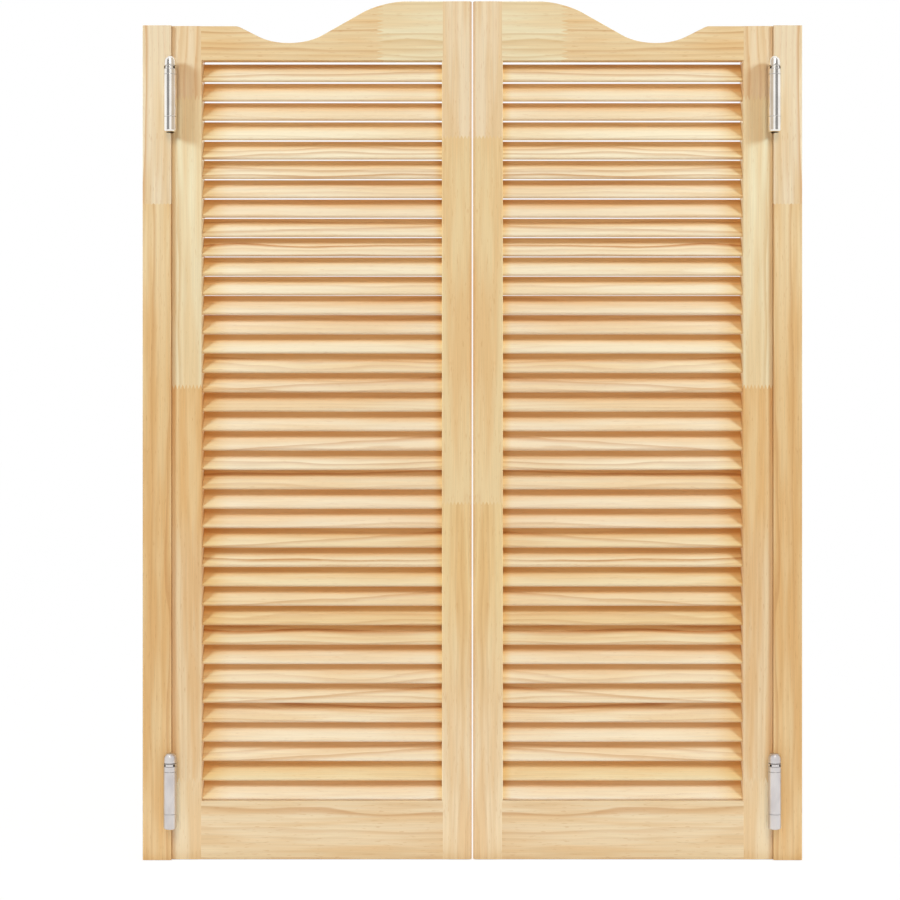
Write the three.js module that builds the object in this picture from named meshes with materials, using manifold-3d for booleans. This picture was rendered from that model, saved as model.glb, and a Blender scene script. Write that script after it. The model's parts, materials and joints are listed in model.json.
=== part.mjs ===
// A pair of louvred cafe doors, hung in two jamb posts on double-action spring hinges.
// Millimetres. +X to the right, +Y to the back, +Z up. Origin: bottom centre of the closed doors.

import * as THREE from 'three';
import { mergeVertices } from 'three/addons/utils/BufferGeometryUtils.js';
import Module from 'manifold-3d';

const wasm = await Module();
wasm.setup();

// Doorway
const OVERALL_WIDTH = 921;
const OVERALL_HEIGHT = 1200;
const MEETING_GAP = 3.4;
const HINGE_GAP = 2;
const JAMB_WIDTH = 39.5;
const JAMB_THICKNESS = 36;
const ARRIS_RADIUS = 1.5;

// Door frame
const DOOR_THICKNESS = 28;
const STILE_WIDTH = 41;
const STICKING_WIDTH = 8;
const STICKING_STEP = 0.6;
const STICKING_RUN = 1.5;
const STICKING_RADIUS = 2;
const MEETING_EDGE_RADIUS = 5;
const BOTTOM_RAIL_HEIGHT = 82;
const RAIL_SETBACK = 0.1;
const TENON_LENGTH = 24;
const TENON_THICKNESS = 9;
const TENON_SHOULDER = 6;

// Scalloped top rail: shoulder by the hinges, dip, then crest at the meeting stile
const SHOULDER_RAIL_HEIGHT = 48.3;
const CREST_RISE = 34.5;
const SHOULDER_RUN = 49.5;
const SHOULDER_RADIUS = 15;
const DIP_RUN = 74.5;
const DIP_DROP = 37.5;
const DIP_RADIUS = 95;
const CREST_RUN = 127.5;
const CREST_RADIUS = 120;
const SOFFIT_LIP = 12;
const SOFFIT_RISE = 9;

// Slats
const SLAT_THICKNESS = 6;
const SLAT_TILT = THREE.MathUtils.degToRad(52);
const SLAT_INSET = 2.08;
const SLAT_OVERLAP = 1.7;
const SLAT_FOOT_GAP = 0.3;
const SLAT_HEAD_GAP = 1;
const SLAT_SLOT_DEPTH = 10;

// Spring hinges
const HINGE_MARGIN = 46;
const BARREL_RADIUS = 9;
const BARREL_STANDOFF = 0.5;
const FOOT_KNUCKLE_LENGTH = 21;
const FOOT_CHAMFER = 2.5;
const FOOT_KNUCKLE_FLOOR = 4;
const TUBE_LENGTH = 59;
const TUBE_WALL = 1.5;
const HEAD_KNUCKLE_LENGTH = 7;
const COLLAR_LENGTH = 6;
const COLLAR_HOLE_RADIUS = 1.9;
const COLLAR_HOLE_DEPTH = 3.5;
const COLLAR_HOLE_COUNT = 4;
const TIP_LENGTH = 12;
const TIP_RADIUS = 7.8;
const TIP_DOME_RISE = 5.5;
const SPINDLE_RADIUS = 3.2;
const PLATE_THICKNESS = 1.2;
const LEAF_REACH = 26;
const LEAF_FOOT = 2;
const LEAF_CORNER_RADIUS = 4;
const SCREW_RADIUS = 2;
const SCREW_HEAD_RADIUS = 3.6;
const SCREW_COUNT = 3;
const SCREW_EDGE = 8;
const SPRING_WIRE_RADIUS = 1.1;
const SPRING_TURNS = 4;

// Fits and facets
const FIT = 0.3;
const PLATE_CLEARANCE = 0.5;
const BARREL_SIDES = 12;
const BORE_SIDES = 9;
const HOLE_SIDES = 6;
const SPRING_STEPS = 6;
const DOME_STEPS = 3;
const WELD = 1e-4;

// Facets of a curve, as half the number of facets in each arc
const EDGE_CURVE = 0.5;
const LEAF_CURVE = 1;
const SLAT_CURVE = 1.5;
const WIRE_CURVE = 2;
const SCALLOP_CURVE = 4;

// Levels of the doors
const shoulderZ = OVERALL_HEIGHT - CREST_RISE;
const soffitZ = shoulderZ - SHOULDER_RAIL_HEIGHT;
const tenonFoot = soffitZ + SOFFIT_RISE;
const topTenon = [tenonFoot, shoulderZ - TENON_SHOULDER];
const crestTenon = [tenonFoot, OVERALL_HEIGHT - TENON_SHOULDER];
const bottomTenon = [TENON_SHOULDER, BOTTOM_RAIL_HEIGHT - TENON_SHOULDER];

// Levels of a hinge, from its foot
const tubeBottom = FOOT_KNUCKLE_LENGTH;
const tubeTop = tubeBottom + TUBE_LENGTH;
const headTop = tubeTop + HEAD_KNUCKLE_LENGTH;
const collarTop = headTop + COLLAR_LENGTH;
const tipTop = collarTop + TIP_LENGTH;
const leafTop = headTop - LEAF_FOOT;
const lowerHingeZ = HINGE_MARGIN;
const upperHingeZ = shoulderZ - HINGE_MARGIN - tipTop;

// Places across one half, measured from the centre line towards the jamb
const jambOuter = OVERALL_WIDTH / 2;
const jambInner = jambOuter - JAMB_WIDTH;
const hingeLine = jambInner - HINGE_GAP / 2;
const doorHingeEdge = jambInner - HINGE_GAP;
const doorMeetingEdge = MEETING_GAP / 2;
const openingHingeEdge = doorHingeEdge - STILE_WIDTH;
const openingMeetingEdge = doorMeetingEdge + STILE_WIDTH;
const railHingeEnd = openingHingeEdge - FIT;
const railMeetingEnd = openingMeetingEdge + FIT;

// Places through the thickness
const halfDoor = DOOR_THICKNESS / 2;
const railThickness = DOOR_THICKNESS - 2 * (STICKING_STEP + RAIL_SETBACK);
const barrelY = Math.max(JAMB_THICKNESS, DOOR_THICKNESS) / 2 + BARREL_STANDOFF + BARREL_RADIUS;
const leafOuterY = barrelY - BARREL_RADIUS - PLATE_CLEARANCE;
const boreRadius = SPINDLE_RADIUS + FIT;
const plateInner = HINGE_GAP / 2;
const plateOuter = plateInner + PLATE_THICKNESS;

// Materials
const timber = (color) => new THREE.MeshStandardMaterial({ color, roughness: 0.62, metalness: 0 });
const steel = (color, roughness) => new THREE.MeshStandardMaterial({ color, roughness, metalness: 1 });
const jambPine = timber(0xe2ba86);
const stilePine = timber(0xe9d2a4);
const railPine = timber(0xe5c294);
const polishedSteel = steel(0xd9d6d0, 0.18);
const satinSteel = steel(0xd3cdc8, 0.38);
const springSteel = steel(0x8c8a86, 0.45);

// Geometry helpers

function solid(geometry) {
  const bare = geometry.clone();
  bare.deleteAttribute('normal');
  bare.deleteAttribute('uv');
  const welded = mergeVertices(bare, WELD);
  const corners = welded.index.array;
  const triangles = [];
  for (let i = 0; i < corners.length; i += 3) {
    const [a, b, c] = corners.slice(i, i + 3);
    if (a !== b && b !== c && c !== a) triangles.push(a, b, c);
  }
  return new wasm.Manifold(new wasm.Mesh({
    numProp: 3,
    vertProperties: new Float32Array(welded.attributes.position.array),
    triVerts: new Uint32Array(triangles),
  }));
}

function surface(body) {
  const mesh = body.getMesh();
  const geometry = new THREE.BufferGeometry();
  geometry.setAttribute('position', new THREE.BufferAttribute(mesh.vertProperties, 3));
  geometry.setIndex(new THREE.BufferAttribute(mesh.triVerts, 1));
  return geometry;
}

// A closed outline through corners [x, y, radius]; a radius of 0 keeps the corner sharp.
function roundedShape(corners) {
  const shape = new THREE.Shape();
  const count = corners.length;
  corners.forEach(([x, y, radius], i) => {
    const corner = new THREE.Vector2(x, y);
    const [px, py] = corners[(i + count - 1) % count];
    const [nx, ny] = corners[(i + 1) % count];
    const back = new THREE.Vector2(px, py).sub(corner).normalize();
    const ahead = new THREE.Vector2(nx, ny).sub(corner).normalize();
    const move = i === 0 ? 'moveTo' : 'lineTo';
    if (radius === 0) {
      shape[move](x, y);
      return;
    }
    const half = Math.acos(THREE.MathUtils.clamp(back.dot(ahead), -1, 1)) / 2;
    const start = corner.clone().addScaledVector(back, radius / Math.tan(half));
    const middle = back.clone().add(ahead).normalize();
    const centre = corner.clone().addScaledVector(middle, radius / Math.sin(half));
    const end = corner.clone().addScaledVector(ahead, radius / Math.tan(half));
    const clockwise = back.cross(ahead) > 0;
    shape[move](start.x, start.y);
    const from = Math.atan2(start.y - centre.y, start.x - centre.x);
    const to = Math.atan2(end.y - centre.y, end.x - centre.x);
    shape.absarc(centre.x, centre.y, radius, from, to, clockwise);
  });
  return shape;
}

function extrudeAlongZ(shape, bottom, top, curveSegments) {
  const options = { depth: top - bottom, bevelEnabled: false, curveSegments };
  return new THREE.ExtrudeGeometry(shape, options).translate(0, 0, bottom);
}

// The shape's own axes become Y and Z.
function extrudeAlongX(shape, x0, x1, curveSegments) {
  const turn = new THREE.Matrix4().makeBasis(
    new THREE.Vector3(0, 1, 0),
    new THREE.Vector3(0, 0, 1),
    new THREE.Vector3(1, 0, 0),
  );
  const low = Math.min(x0, x1);
  const high = Math.max(x0, x1);
  return extrudeAlongZ(shape, low, high, curveSegments).applyMatrix4(turn);
}

// The shape's own axes become X and Z, and the solid is centred on Y = 0.
function extrudeAlongY(shape, thickness, curveSegments) {
  const turn = new THREE.Matrix4().makeBasis(
    new THREE.Vector3(1, 0, 0),
    new THREE.Vector3(0, 0, 1),
    new THREE.Vector3(0, -1, 0),
  );
  return extrudeAlongZ(shape, -thickness / 2, thickness / 2, curveSegments).applyMatrix4(turn);
}

function block([x0, x1], [y0, y1], [z0, z1]) {
  const size = [Math.abs(x1 - x0), Math.abs(y1 - y0), Math.abs(z1 - z0)];
  const geometry = new THREE.BoxGeometry(...size);
  return geometry.translate((x0 + x1) / 2, (y0 + y1) / 2, (z0 + z1) / 2);
}

// A body of revolution about Z from [radius, z] points.
function turned(profile, sides) {
  const points = profile.map(([radius, z]) => new THREE.Vector2(radius, z));
  return new THREE.LatheGeometry(points, sides).rotateX(Math.PI / 2);
}

// A ring's closed profile, up the outside and down the bore.
function ring(outer, inner, bottom, top) {
  return [[inner, bottom], [outer, bottom], [outer, top], [inner, top], [inner, bottom]];
}

function rod(radius, bottom, top) {
  return [[0, bottom], [radius, bottom], [radius, top], [0, top]];
}

function named(name, geometry, material) {
  const mesh = new THREE.Mesh(geometry, material);
  mesh.name = name;
  return mesh;
}

// Slat bank

const slatRun = DOOR_THICKNESS - 2 * SLAT_INSET;
const slatSpine = (slatRun - SLAT_THICKNESS) / Math.cos(SLAT_TILT);
const slatRise = slatSpine * Math.sin(SLAT_TILT) + SLAT_THICKNESS;
const bankTop = soffitZ - SLAT_HEAD_GAP;
const bankFoot = BOTTOM_RAIL_HEIGHT + SLAT_FOOT_GAP;
const bankRise = bankTop - bankFoot - slatRise;
const slatSteps = Math.max(1, Math.round(bankRise / (slatRise - SLAT_OVERLAP)));
const slatPitch = bankRise / slatSteps;
const firstSlatZ = bankFoot + slatRise / 2;
const slatLevels = Array.from({ length: slatSteps + 1 }, (_, i) => firstSlatZ + i * slatPitch);

// Section of a slat in Y and Z, low at the front, with both long edges rounded.
function slatSection(z) {
  const radius = SLAT_THICKNESS / 2;
  const dy = (slatSpine / 2) * Math.cos(SLAT_TILT);
  const dz = (slatSpine / 2) * Math.sin(SLAT_TILT);
  const side = SLAT_TILT + Math.PI / 2;
  const shape = new THREE.Shape();
  shape.absarc(dy, z + dz, radius, side - Math.PI, side, false);
  shape.absarc(-dy, z - dz, radius, side, side + Math.PI, false);
  return shape;
}

// Section of a routed slot, with pointed ends that clear the slat's rounded edges.
function slotSection(z) {
  const radius = SLAT_THICKNESS / 2 + FIT;
  const bevel = Math.tan(Math.PI / 8);
  const end = [[bevel, -1], [Math.SQRT2, 0], [bevel, 1]];
  const along = new THREE.Vector2(Math.cos(SLAT_TILT), Math.sin(SLAT_TILT));
  const across = new THREE.Vector2(-along.y, along.x);
  const points = [1, -1].flatMap((way) => end.map(([u, v]) => new THREE.Vector2(0, z)
    .addScaledVector(along, way * (slatSpine / 2 + u * radius))
    .addScaledVector(across, way * v * radius)));
  return new THREE.Shape(points);
}

// Stiles

// Section of a stile from its inner edge (0) to its outer edge, moulded along the slats on both faces.
function stileSection(place, outerRadius) {
  const moulded = halfDoor - STICKING_STEP;
  return roundedShape([
    [place(0), -moulded, STICKING_RADIUS],
    [place(STICKING_WIDTH), -moulded, 0],
    [place(STICKING_WIDTH + STICKING_RUN), -halfDoor, 0],
    [place(STILE_WIDTH), -halfDoor, outerRadius],
    [place(STILE_WIDTH), halfDoor, outerRadius],
    [place(STICKING_WIDTH + STICKING_RUN), halfDoor, 0],
    [place(STICKING_WIDTH), moulded, 0],
    [place(0), moulded, STICKING_RADIUS],
  ]);
}

function mortise(place, [bottom, top]) {
  const half = TENON_THICKNESS / 2 + FIT;
  const width = [place(-FIT), place(TENON_LENGTH + FIT)];
  return solid(block(width, [-half, half], [bottom - FIT, top + FIT]));
}

// Hinge plates are let into the edge that faces the hinge line.
function leafRecess(side, edge, depthSign, barrelSign) {
  const face = side * edge;
  const floor = face + side * depthSign * (PLATE_THICKNESS + FIT);
  const mouth = face - side * depthSign * FIT;
  const cheek = barrelSign * (JAMB_THICKNESS + DOOR_THICKNESS);
  const end = barrelSign * (leafOuterY - LEAF_REACH - FIT);
  return [lowerHingeZ, upperHingeZ].map((z) => {
    const height = [z + LEAF_FOOT - FIT, z + leafTop + FIT];
    return solid(block([mouth, floor], [cheek, end], height));
  });
}

function hingeStile(side) {
  const place = (w) => side * (openingHingeEdge + w);
  const section = stileSection(place, ARRIS_RADIUS);
  let body = solid(extrudeAlongZ(section, 0, shoulderZ, EDGE_CURVE));
  for (const z of slatLevels) {
    const slot = extrudeAlongX(slotSection(z), place(-FIT), place(SLAT_SLOT_DEPTH));
    body = body.subtract(solid(slot));
  }
  for (const tenon of [topTenon, bottomTenon]) body = body.subtract(mortise(place, tenon));
  for (const recess of leafRecess(side, doorHingeEdge, -1, -side)) body = body.subtract(recess);
  return surface(body);
}

// The slats are carried by the meeting stile and enter the hinge stile's slots.
function meetingStileWithSlats(side) {
  const place = (w) => side * (openingMeetingEdge - w);
  const section = stileSection(place, MEETING_EDGE_RADIUS);
  let body = solid(extrudeAlongZ(section, 0, OVERALL_HEIGHT, EDGE_CURVE));
  for (const tenon of [crestTenon, bottomTenon]) body = body.subtract(mortise(place, tenon));
  const slatEnd = side * (openingHingeEdge + SLAT_SLOT_DEPTH - FIT);
  for (const z of slatLevels) {
    const slat = extrudeAlongX(slatSection(z), place(SLAT_SLOT_DEPTH), slatEnd, SLAT_CURVE);
    body = body.add(solid(slat));
  }
  return surface(body);
}

// Rails

function tenon(side, end, direction, [bottom, top]) {
  const width = [side * (end - direction * FIT), side * (end + direction * TENON_LENGTH)];
  const half = TENON_THICKNESS / 2;
  return solid(block(width, [-half, half], [bottom, top]));
}

function topRail(side) {
  const shoulderEnd = railHingeEnd - SHOULDER_RUN;
  const dip = shoulderEnd - DIP_RUN;
  const crest = dip - CREST_RUN;
  const outline = roundedShape([
    [side * railHingeEnd, soffitZ, 0],
    [side * railHingeEnd, shoulderZ, 0],
    [side * shoulderEnd, shoulderZ, SHOULDER_RADIUS],
    [side * dip, shoulderZ - DIP_DROP, DIP_RADIUS],
    [side * crest, OVERALL_HEIGHT, CREST_RADIUS],
    [side * railMeetingEnd, OVERALL_HEIGHT, 0],
    [side * railMeetingEnd, soffitZ, 0],
  ]);
  const half = railThickness / 2;
  const chamfer = roundedShape([
    [SOFFIT_LIP - half, soffitZ, 0],
    [half, soffitZ + SOFFIT_RISE, 0],
    [half + SOFFIT_LIP, soffitZ + SOFFIT_RISE, 0],
    [half + SOFFIT_LIP, soffitZ - SOFFIT_RISE, 0],
    [SOFFIT_LIP - half, soffitZ - SOFFIT_RISE, 0],
  ]);
  const ends = [side * (railHingeEnd + FIT), side * (railMeetingEnd - FIT)];
  return surface(solid(extrudeAlongY(outline, railThickness, SCALLOP_CURVE))
    .subtract(solid(extrudeAlongX(chamfer, ...ends)))
    .add(tenon(side, railHingeEnd, 1, topTenon))
    .add(tenon(side, railMeetingEnd, -1, crestTenon)));
}

function bottomRail(side) {
  const half = railThickness / 2;
  const section = roundedShape([
    [-half, 0, 0],
    [half, 0, 0],
    [half, BOTTOM_RAIL_HEIGHT, ARRIS_RADIUS],
    [-half, BOTTOM_RAIL_HEIGHT, ARRIS_RADIUS],
  ]);
  const rail = extrudeAlongX(section, side * railHingeEnd, side * railMeetingEnd, EDGE_CURVE);
  return surface(solid(rail)
    .add(tenon(side, railHingeEnd, 1, bottomTenon))
    .add(tenon(side, railMeetingEnd, -1, bottomTenon)));
}

// Jamb posts

function jambPost(side) {
  const half = JAMB_THICKNESS / 2;
  const section = roundedShape([
    [side * jambInner, -half, ARRIS_RADIUS],
    [side * jambOuter, -half, ARRIS_RADIUS],
    [side * jambOuter, half, ARRIS_RADIUS],
    [side * jambInner, half, ARRIS_RADIUS],
  ]);
  let body = solid(extrudeAlongZ(section, 0, shoulderZ, EDGE_CURVE));
  for (const recess of leafRecess(side, jambInner, 1, side)) body = body.subtract(recess);
  return surface(body);
}

// Spring hinge pieces, in the hinge's own frame: hinge line at X = 0, Y = 0, foot at Z = 0.
// The front barrel stands at -barrelY and the back one at +barrelY.

function countersunkHole(y, z) {
  const spread = (SCREW_HEAD_RADIUS - SCREW_RADIUS) / PLATE_THICKNESS;
  const profile = [
    [0, -PLATE_THICKNESS - FIT],
    [SCREW_RADIUS - spread * FIT, -PLATE_THICKNESS - FIT],
    [SCREW_HEAD_RADIUS + spread * FIT, FIT],
    [0, FIT],
  ];
  return solid(turned(profile, HOLE_SIDES).rotateY(Math.PI / 2).translate(-plateInner, y, z));
}

// A leaf: a plate at X < 0 let into the timber, joined to the spring tube of the front barrel.
function leaf() {
  const inner = LEAF_REACH - leafOuterY;
  const plate = roundedShape([
    [-leafOuterY, LEAF_FOOT, 0],
    [inner, LEAF_FOOT, LEAF_CORNER_RADIUS],
    [inner, leafTop, LEAF_CORNER_RADIUS],
    [-leafOuterY, leafTop, 0],
  ]);
  const tubeSpan = [tubeBottom + FIT, tubeTop - FIT];
  const neckEnd = BARREL_RADIUS - TUBE_WALL / 2 - barrelY;
  const tube = turned(rod(BARREL_RADIUS, ...tubeSpan), BARREL_SIDES).translate(0, -barrelY, 0);
  const cavity = rod(BARREL_RADIUS - TUBE_WALL, tubeBottom, tubeTop);
  let body = solid(extrudeAlongX(plate, -plateOuter, -plateInner, LEAF_CURVE))
    .add(solid(block([-plateOuter, -plateInner], [neckEnd, 0], tubeSpan)))
    .add(solid(tube))
    .subtract(solid(turned(cavity, BARREL_SIDES).translate(0, -barrelY, 0)));
  for (let i = 0; i < SCREW_COUNT; i += 1) {
    const low = LEAF_FOOT + SCREW_EDGE;
    const z = THREE.MathUtils.lerp(low, leafTop - SCREW_EDGE, i / (SCREW_COUNT - 1));
    const y = i % 2 === 0 ? inner - SCREW_EDGE : SCREW_EDGE - leafOuterY;
    body = body.subtract(countersunkHole(y, z));
  }
  return surface(body);
}

// The web: one plate in the gap, with a foot and a head knuckle at each barrel.
function web() {
  const foot = [
    [0, 0],
    [BARREL_RADIUS - FOOT_CHAMFER, 0],
    [BARREL_RADIUS, FOOT_CHAMFER],
    [BARREL_RADIUS, tubeBottom],
    [0, tubeBottom],
  ];
  const head = rod(BARREL_RADIUS, tubeTop, headTop);
  const half = PLATE_THICKNESS / 2;
  const reach = barrelY - boreRadius - TUBE_WALL;
  let body = solid(block([-half, half], [-leafOuterY, leafOuterY], [FOOT_CHAMFER, headTop]));
  for (const z of [[FOOT_CHAMFER, tubeBottom], [tubeTop, headTop]]) {
    body = body.add(solid(block([-half, half], [-reach, reach], z)));
  }
  for (const y of [-barrelY, barrelY]) {
    const bore = rod(boreRadius, FOOT_KNUCKLE_FLOOR, headTop + FIT);
    body = body
      .add(solid(turned(foot, BARREL_SIDES).translate(0, y, 0)))
      .add(solid(turned(head, BARREL_SIDES).translate(0, y, 0)))
      .subtract(solid(turned(bore, BORE_SIDES).translate(0, y, 0)));
  }
  return surface(body);
}

// A spindle with its domed tip, standing in the web's knuckles.
function spindle() {
  const tipBottom = collarTop + FIT;
  const domeBottom = tipTop - TIP_DOME_RISE;
  const dome = Array.from({ length: DOME_STEPS }, (_, i) => {
    const turn = (i / DOME_STEPS) * (Math.PI / 2);
    return [TIP_RADIUS * Math.cos(turn), domeBottom + TIP_DOME_RISE * Math.sin(turn)];
  });
  const profile = [
    [0, FOOT_KNUCKLE_FLOOR + FIT],
    [SPINDLE_RADIUS, FOOT_KNUCKLE_FLOOR + FIT],
    [SPINDLE_RADIUS, tipBottom],
    [TIP_RADIUS, tipBottom],
    ...dome,
    [0, tipTop],
  ];
  return surface(solid(turned(profile, BARREL_SIDES)));
}

// A tension collar with radial holes for a tommy bar.
function collar() {
  let body = solid(turned(ring(BARREL_RADIUS, boreRadius, headTop + FIT, collarTop), BARREL_SIDES));
  for (let i = 0; i < COLLAR_HOLE_COUNT; i += 1) {
    const angle = ((i + 0.5) / COLLAR_HOLE_COUNT) * 2 * Math.PI;
    const hole = rod(COLLAR_HOLE_RADIUS, BARREL_RADIUS - COLLAR_HOLE_DEPTH, BARREL_RADIUS + FIT);
    const drill = turned(hole, HOLE_SIDES).rotateY(Math.PI / 2).rotateZ(angle);
    body = body.subtract(solid(drill.translate(0, 0, (headTop + FIT + collarTop) / 2)));
  }
  return surface(body);
}

class CoilCurve extends THREE.Curve {
  constructor(radius, bottom, top, turns) {
    super();
    Object.assign(this, { radius, bottom, top, turns });
  }

  getPoint(t, target = new THREE.Vector3()) {
    const angle = t * this.turns * 2 * Math.PI;
    const z = THREE.MathUtils.lerp(this.bottom, this.top, t);
    return target.set(this.radius * Math.cos(angle), this.radius * Math.sin(angle), z);
  }
}

// A torsion spring around the spindle, standing in the tube on the foot knuckle.
function spring() {
  const radius = (BARREL_RADIUS - TUBE_WALL + SPINDLE_RADIUS) / 2;
  const bottom = tubeBottom + FIT + SPRING_WIRE_RADIUS;
  const top = tubeTop - FIT - SPRING_WIRE_RADIUS;
  const extrudePath = new CoilCurve(radius, bottom, top, SPRING_TURNS);
  const wire = new THREE.Shape().absarc(0, 0, SPRING_WIRE_RADIUS, 0, 2 * Math.PI, false);
  const options = { steps: SPRING_TURNS * SPRING_STEPS, extrudePath, curveSegments: WIRE_CURVE };
  return surface(solid(new THREE.ExtrudeGeometry(wire, options)));
}

// Assembly

const doors = new THREE.Group();
const sides = { left: -1, right: 1 };
const levels = { lower: [lowerHingeZ, satinSteel], upper: [upperHingeZ, polishedSteel] };
const pieces = { leaf: leaf(), web: web(), spindle: spindle(), collar: collar(), spring: spring() };

function hinge(sideName, levelName) {
  const [z, finish] = levels[levelName];
  const prefix = `${sideName}_${levelName}`;
  const group = new THREE.Group();
  group.position.set(sides[sideName] * hingeLine, 0, z);
  const frontLeaf = sideName === 'left' ? 'jamb_leaf' : 'door_leaf';
  const backLeaf = sideName === 'left' ? 'door_leaf' : 'jamb_leaf';
  const back = named(`${prefix}_${backLeaf}`, pieces.leaf, finish);
  back.rotation.z = Math.PI;
  group.add(named(`${prefix}_${frontLeaf}`, pieces.leaf, finish), back);
  group.add(named(`${prefix}_web`, pieces.web, finish));
  for (const [barrel, y] of [['front', -barrelY], ['back', barrelY]]) {
    const inBarrel = new THREE.Group();
    inBarrel.position.y = y;
    inBarrel.add(
      named(`${prefix}_${barrel}_spindle`, pieces.spindle, finish),
      named(`${prefix}_${barrel}_collar`, pieces.collar, finish),
      named(`${prefix}_${barrel}_spring`, pieces.spring, springSteel),
    );
    group.add(inBarrel);
  }
  return group;
}

for (const [sideName, side] of Object.entries(sides)) {
  doors.add(
    named(`${sideName}_jamb_post`, jambPost(side), jambPine),
    named(`${sideName}_hinge_stile`, hingeStile(side), stilePine),
    named(`${sideName}_meeting_stile_and_slats`, meetingStileWithSlats(side), stilePine),
    named(`${sideName}_top_rail`, topRail(side), railPine),
    named(`${sideName}_bottom_rail`, bottomRail(side), railPine),
  );
  for (const levelName of Object.keys(levels)) doors.add(hinge(sideName, levelName));
}

export default doors;
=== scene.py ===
# %% [markdown]
# # Cafe swinging doors
# This lesson dresses a pair of louvred pine doors that hang between two posts on double-action
# spring hinges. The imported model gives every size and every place, so each piece is modelled where
# the frame says, and the finishes come from nodes alone. Each step says what the piece is on the real
# doors, how it could be made, and why it is made this way.

# %% Load the frame
import json
import math
import random

import bmesh
import bpy
from mathutils import Matrix, Vector


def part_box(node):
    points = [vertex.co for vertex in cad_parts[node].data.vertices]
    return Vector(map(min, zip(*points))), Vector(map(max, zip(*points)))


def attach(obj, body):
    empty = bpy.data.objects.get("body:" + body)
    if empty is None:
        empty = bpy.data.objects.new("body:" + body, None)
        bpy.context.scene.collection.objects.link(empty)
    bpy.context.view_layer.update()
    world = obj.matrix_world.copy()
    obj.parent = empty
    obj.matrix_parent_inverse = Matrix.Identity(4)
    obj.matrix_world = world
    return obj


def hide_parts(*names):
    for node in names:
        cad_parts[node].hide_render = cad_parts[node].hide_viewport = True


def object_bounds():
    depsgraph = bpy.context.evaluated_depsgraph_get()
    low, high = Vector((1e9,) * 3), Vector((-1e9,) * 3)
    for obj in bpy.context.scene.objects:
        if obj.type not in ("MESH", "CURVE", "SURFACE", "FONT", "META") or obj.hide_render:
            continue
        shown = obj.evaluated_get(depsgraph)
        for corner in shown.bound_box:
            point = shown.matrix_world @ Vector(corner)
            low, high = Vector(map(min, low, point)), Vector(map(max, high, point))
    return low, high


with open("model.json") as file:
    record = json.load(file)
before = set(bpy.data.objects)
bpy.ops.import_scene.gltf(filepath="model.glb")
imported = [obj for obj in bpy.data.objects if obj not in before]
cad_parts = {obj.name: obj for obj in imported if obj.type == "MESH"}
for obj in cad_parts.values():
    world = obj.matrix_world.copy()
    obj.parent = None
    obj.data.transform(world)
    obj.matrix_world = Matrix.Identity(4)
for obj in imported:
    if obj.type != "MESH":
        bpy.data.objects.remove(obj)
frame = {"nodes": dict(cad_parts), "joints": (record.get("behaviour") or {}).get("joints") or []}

cad_low, cad_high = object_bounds()

# %% [markdown]
# The doors are the same on both sides of the centre plane, so most places are kept as a distance from
# that plane, and a side is minus one or plus one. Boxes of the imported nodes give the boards, and the
# swing joints give the two barrels of a hinge. Only what a box can't tell is written as a number here.

# %% Sizes and places, in metres
MM = 0.001
SIDES = {"left": -1, "right": 1}
LEVELS = ("lower", "upper")
BARRELS = {"front": -1, "back": 1}

post_low, post_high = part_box("right_jamb_post")
stile_low, stile_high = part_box("right_hinge_stile")
bottom_rail_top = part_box("right_bottom_rail")[1].z
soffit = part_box("right_top_rail")[0].z
rail_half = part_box("right_top_rail")[1].y
meeting_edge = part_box("right_meeting_stile_and_slats")[0].x
stile_width = stile_high.x - stile_low.x
door_half = stile_high.y
opening_hinge_edge = stile_low.x
opening_meeting_edge = meeting_edge + stile_width
shoulder = stile_high.z
crest = cad_high.z

swing = {joint["name"]: joint for joint in frame["joints"]}["right_back_swing"]
hinge_line = swing["pos_m"][0]
barrel_y = swing["pos_m"][1]
hinge_foot = {level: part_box(f"right_{level}_web")[0].z for level in LEVELS}
FIT = 0.3 * MM
print("door opening:", round(opening_hinge_edge - opening_meeting_edge, 4), "m wide")

# %% [markdown]
# The photograph looks straight at the doors from a little below their middle, with a long lens. The
# camera is level, so uprights stay parallel, and a small shift puts the centre plane where the picture
# has it. The picture is 900 pixels wide, which turns its scale into a distance.

# %% Camera
PICTURE = 900
SCALE = 1.398 * MM
FOCAL_PIXELS = 1700
CENTRE_PIXEL = (472.4, 435.0)
EYE_HEIGHT = 0.5935
SENSOR = 36

camera_data = bpy.data.cameras.new("camera")
camera_data.sensor_width = SENSOR
camera_data.lens = FOCAL_PIXELS / PICTURE * SENSOR
camera_data.shift_x = (PICTURE / 2 - CENTRE_PIXEL[0]) / PICTURE
camera_data.shift_y = (CENTRE_PIXEL[1] - PICTURE / 2) / PICTURE
camera = bpy.data.objects.new("camera", camera_data)
camera.location = (0, -door_half - FOCAL_PIXELS * SCALE, EYE_HEIGHT)
camera.rotation_euler = (math.pi / 2, 0, 0)
bpy.context.scene.collection.objects.link(camera)
bpy.context.scene.camera = camera
print("camera:", round(camera_data.lens, 1), "mm lens at", [round(c, 3) for c in camera.location])

# %% [markdown]
# Modelling by hand starts with a primitive at its size and place. These helpers add a block or a round
# bar and move its place into its mesh. Operators act on everything that is selected, so each start clears
# the selection first.


# %% Helpers: start a piece
def activate(piece):
    bpy.ops.object.select_all(action="DESELECT")
    piece.select_set(True)
    bpy.context.view_layer.objects.active = piece


def settle(name):
    """Names the new primitive and moves its place into its mesh."""
    piece = bpy.context.object
    piece.name = name
    piece.data.name = name
    bpy.ops.object.transform_apply(location=True, rotation=True, scale=True)
    return piece


def block(name, low, high):
    bpy.ops.object.select_all(action="DESELECT")
    low, high = Vector(map(min, low, high)), Vector(map(max, low, high))
    bpy.ops.mesh.primitive_cube_add(size=1, location=(low + high) / 2)
    bpy.context.object.scale = high - low
    return settle(name)


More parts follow.
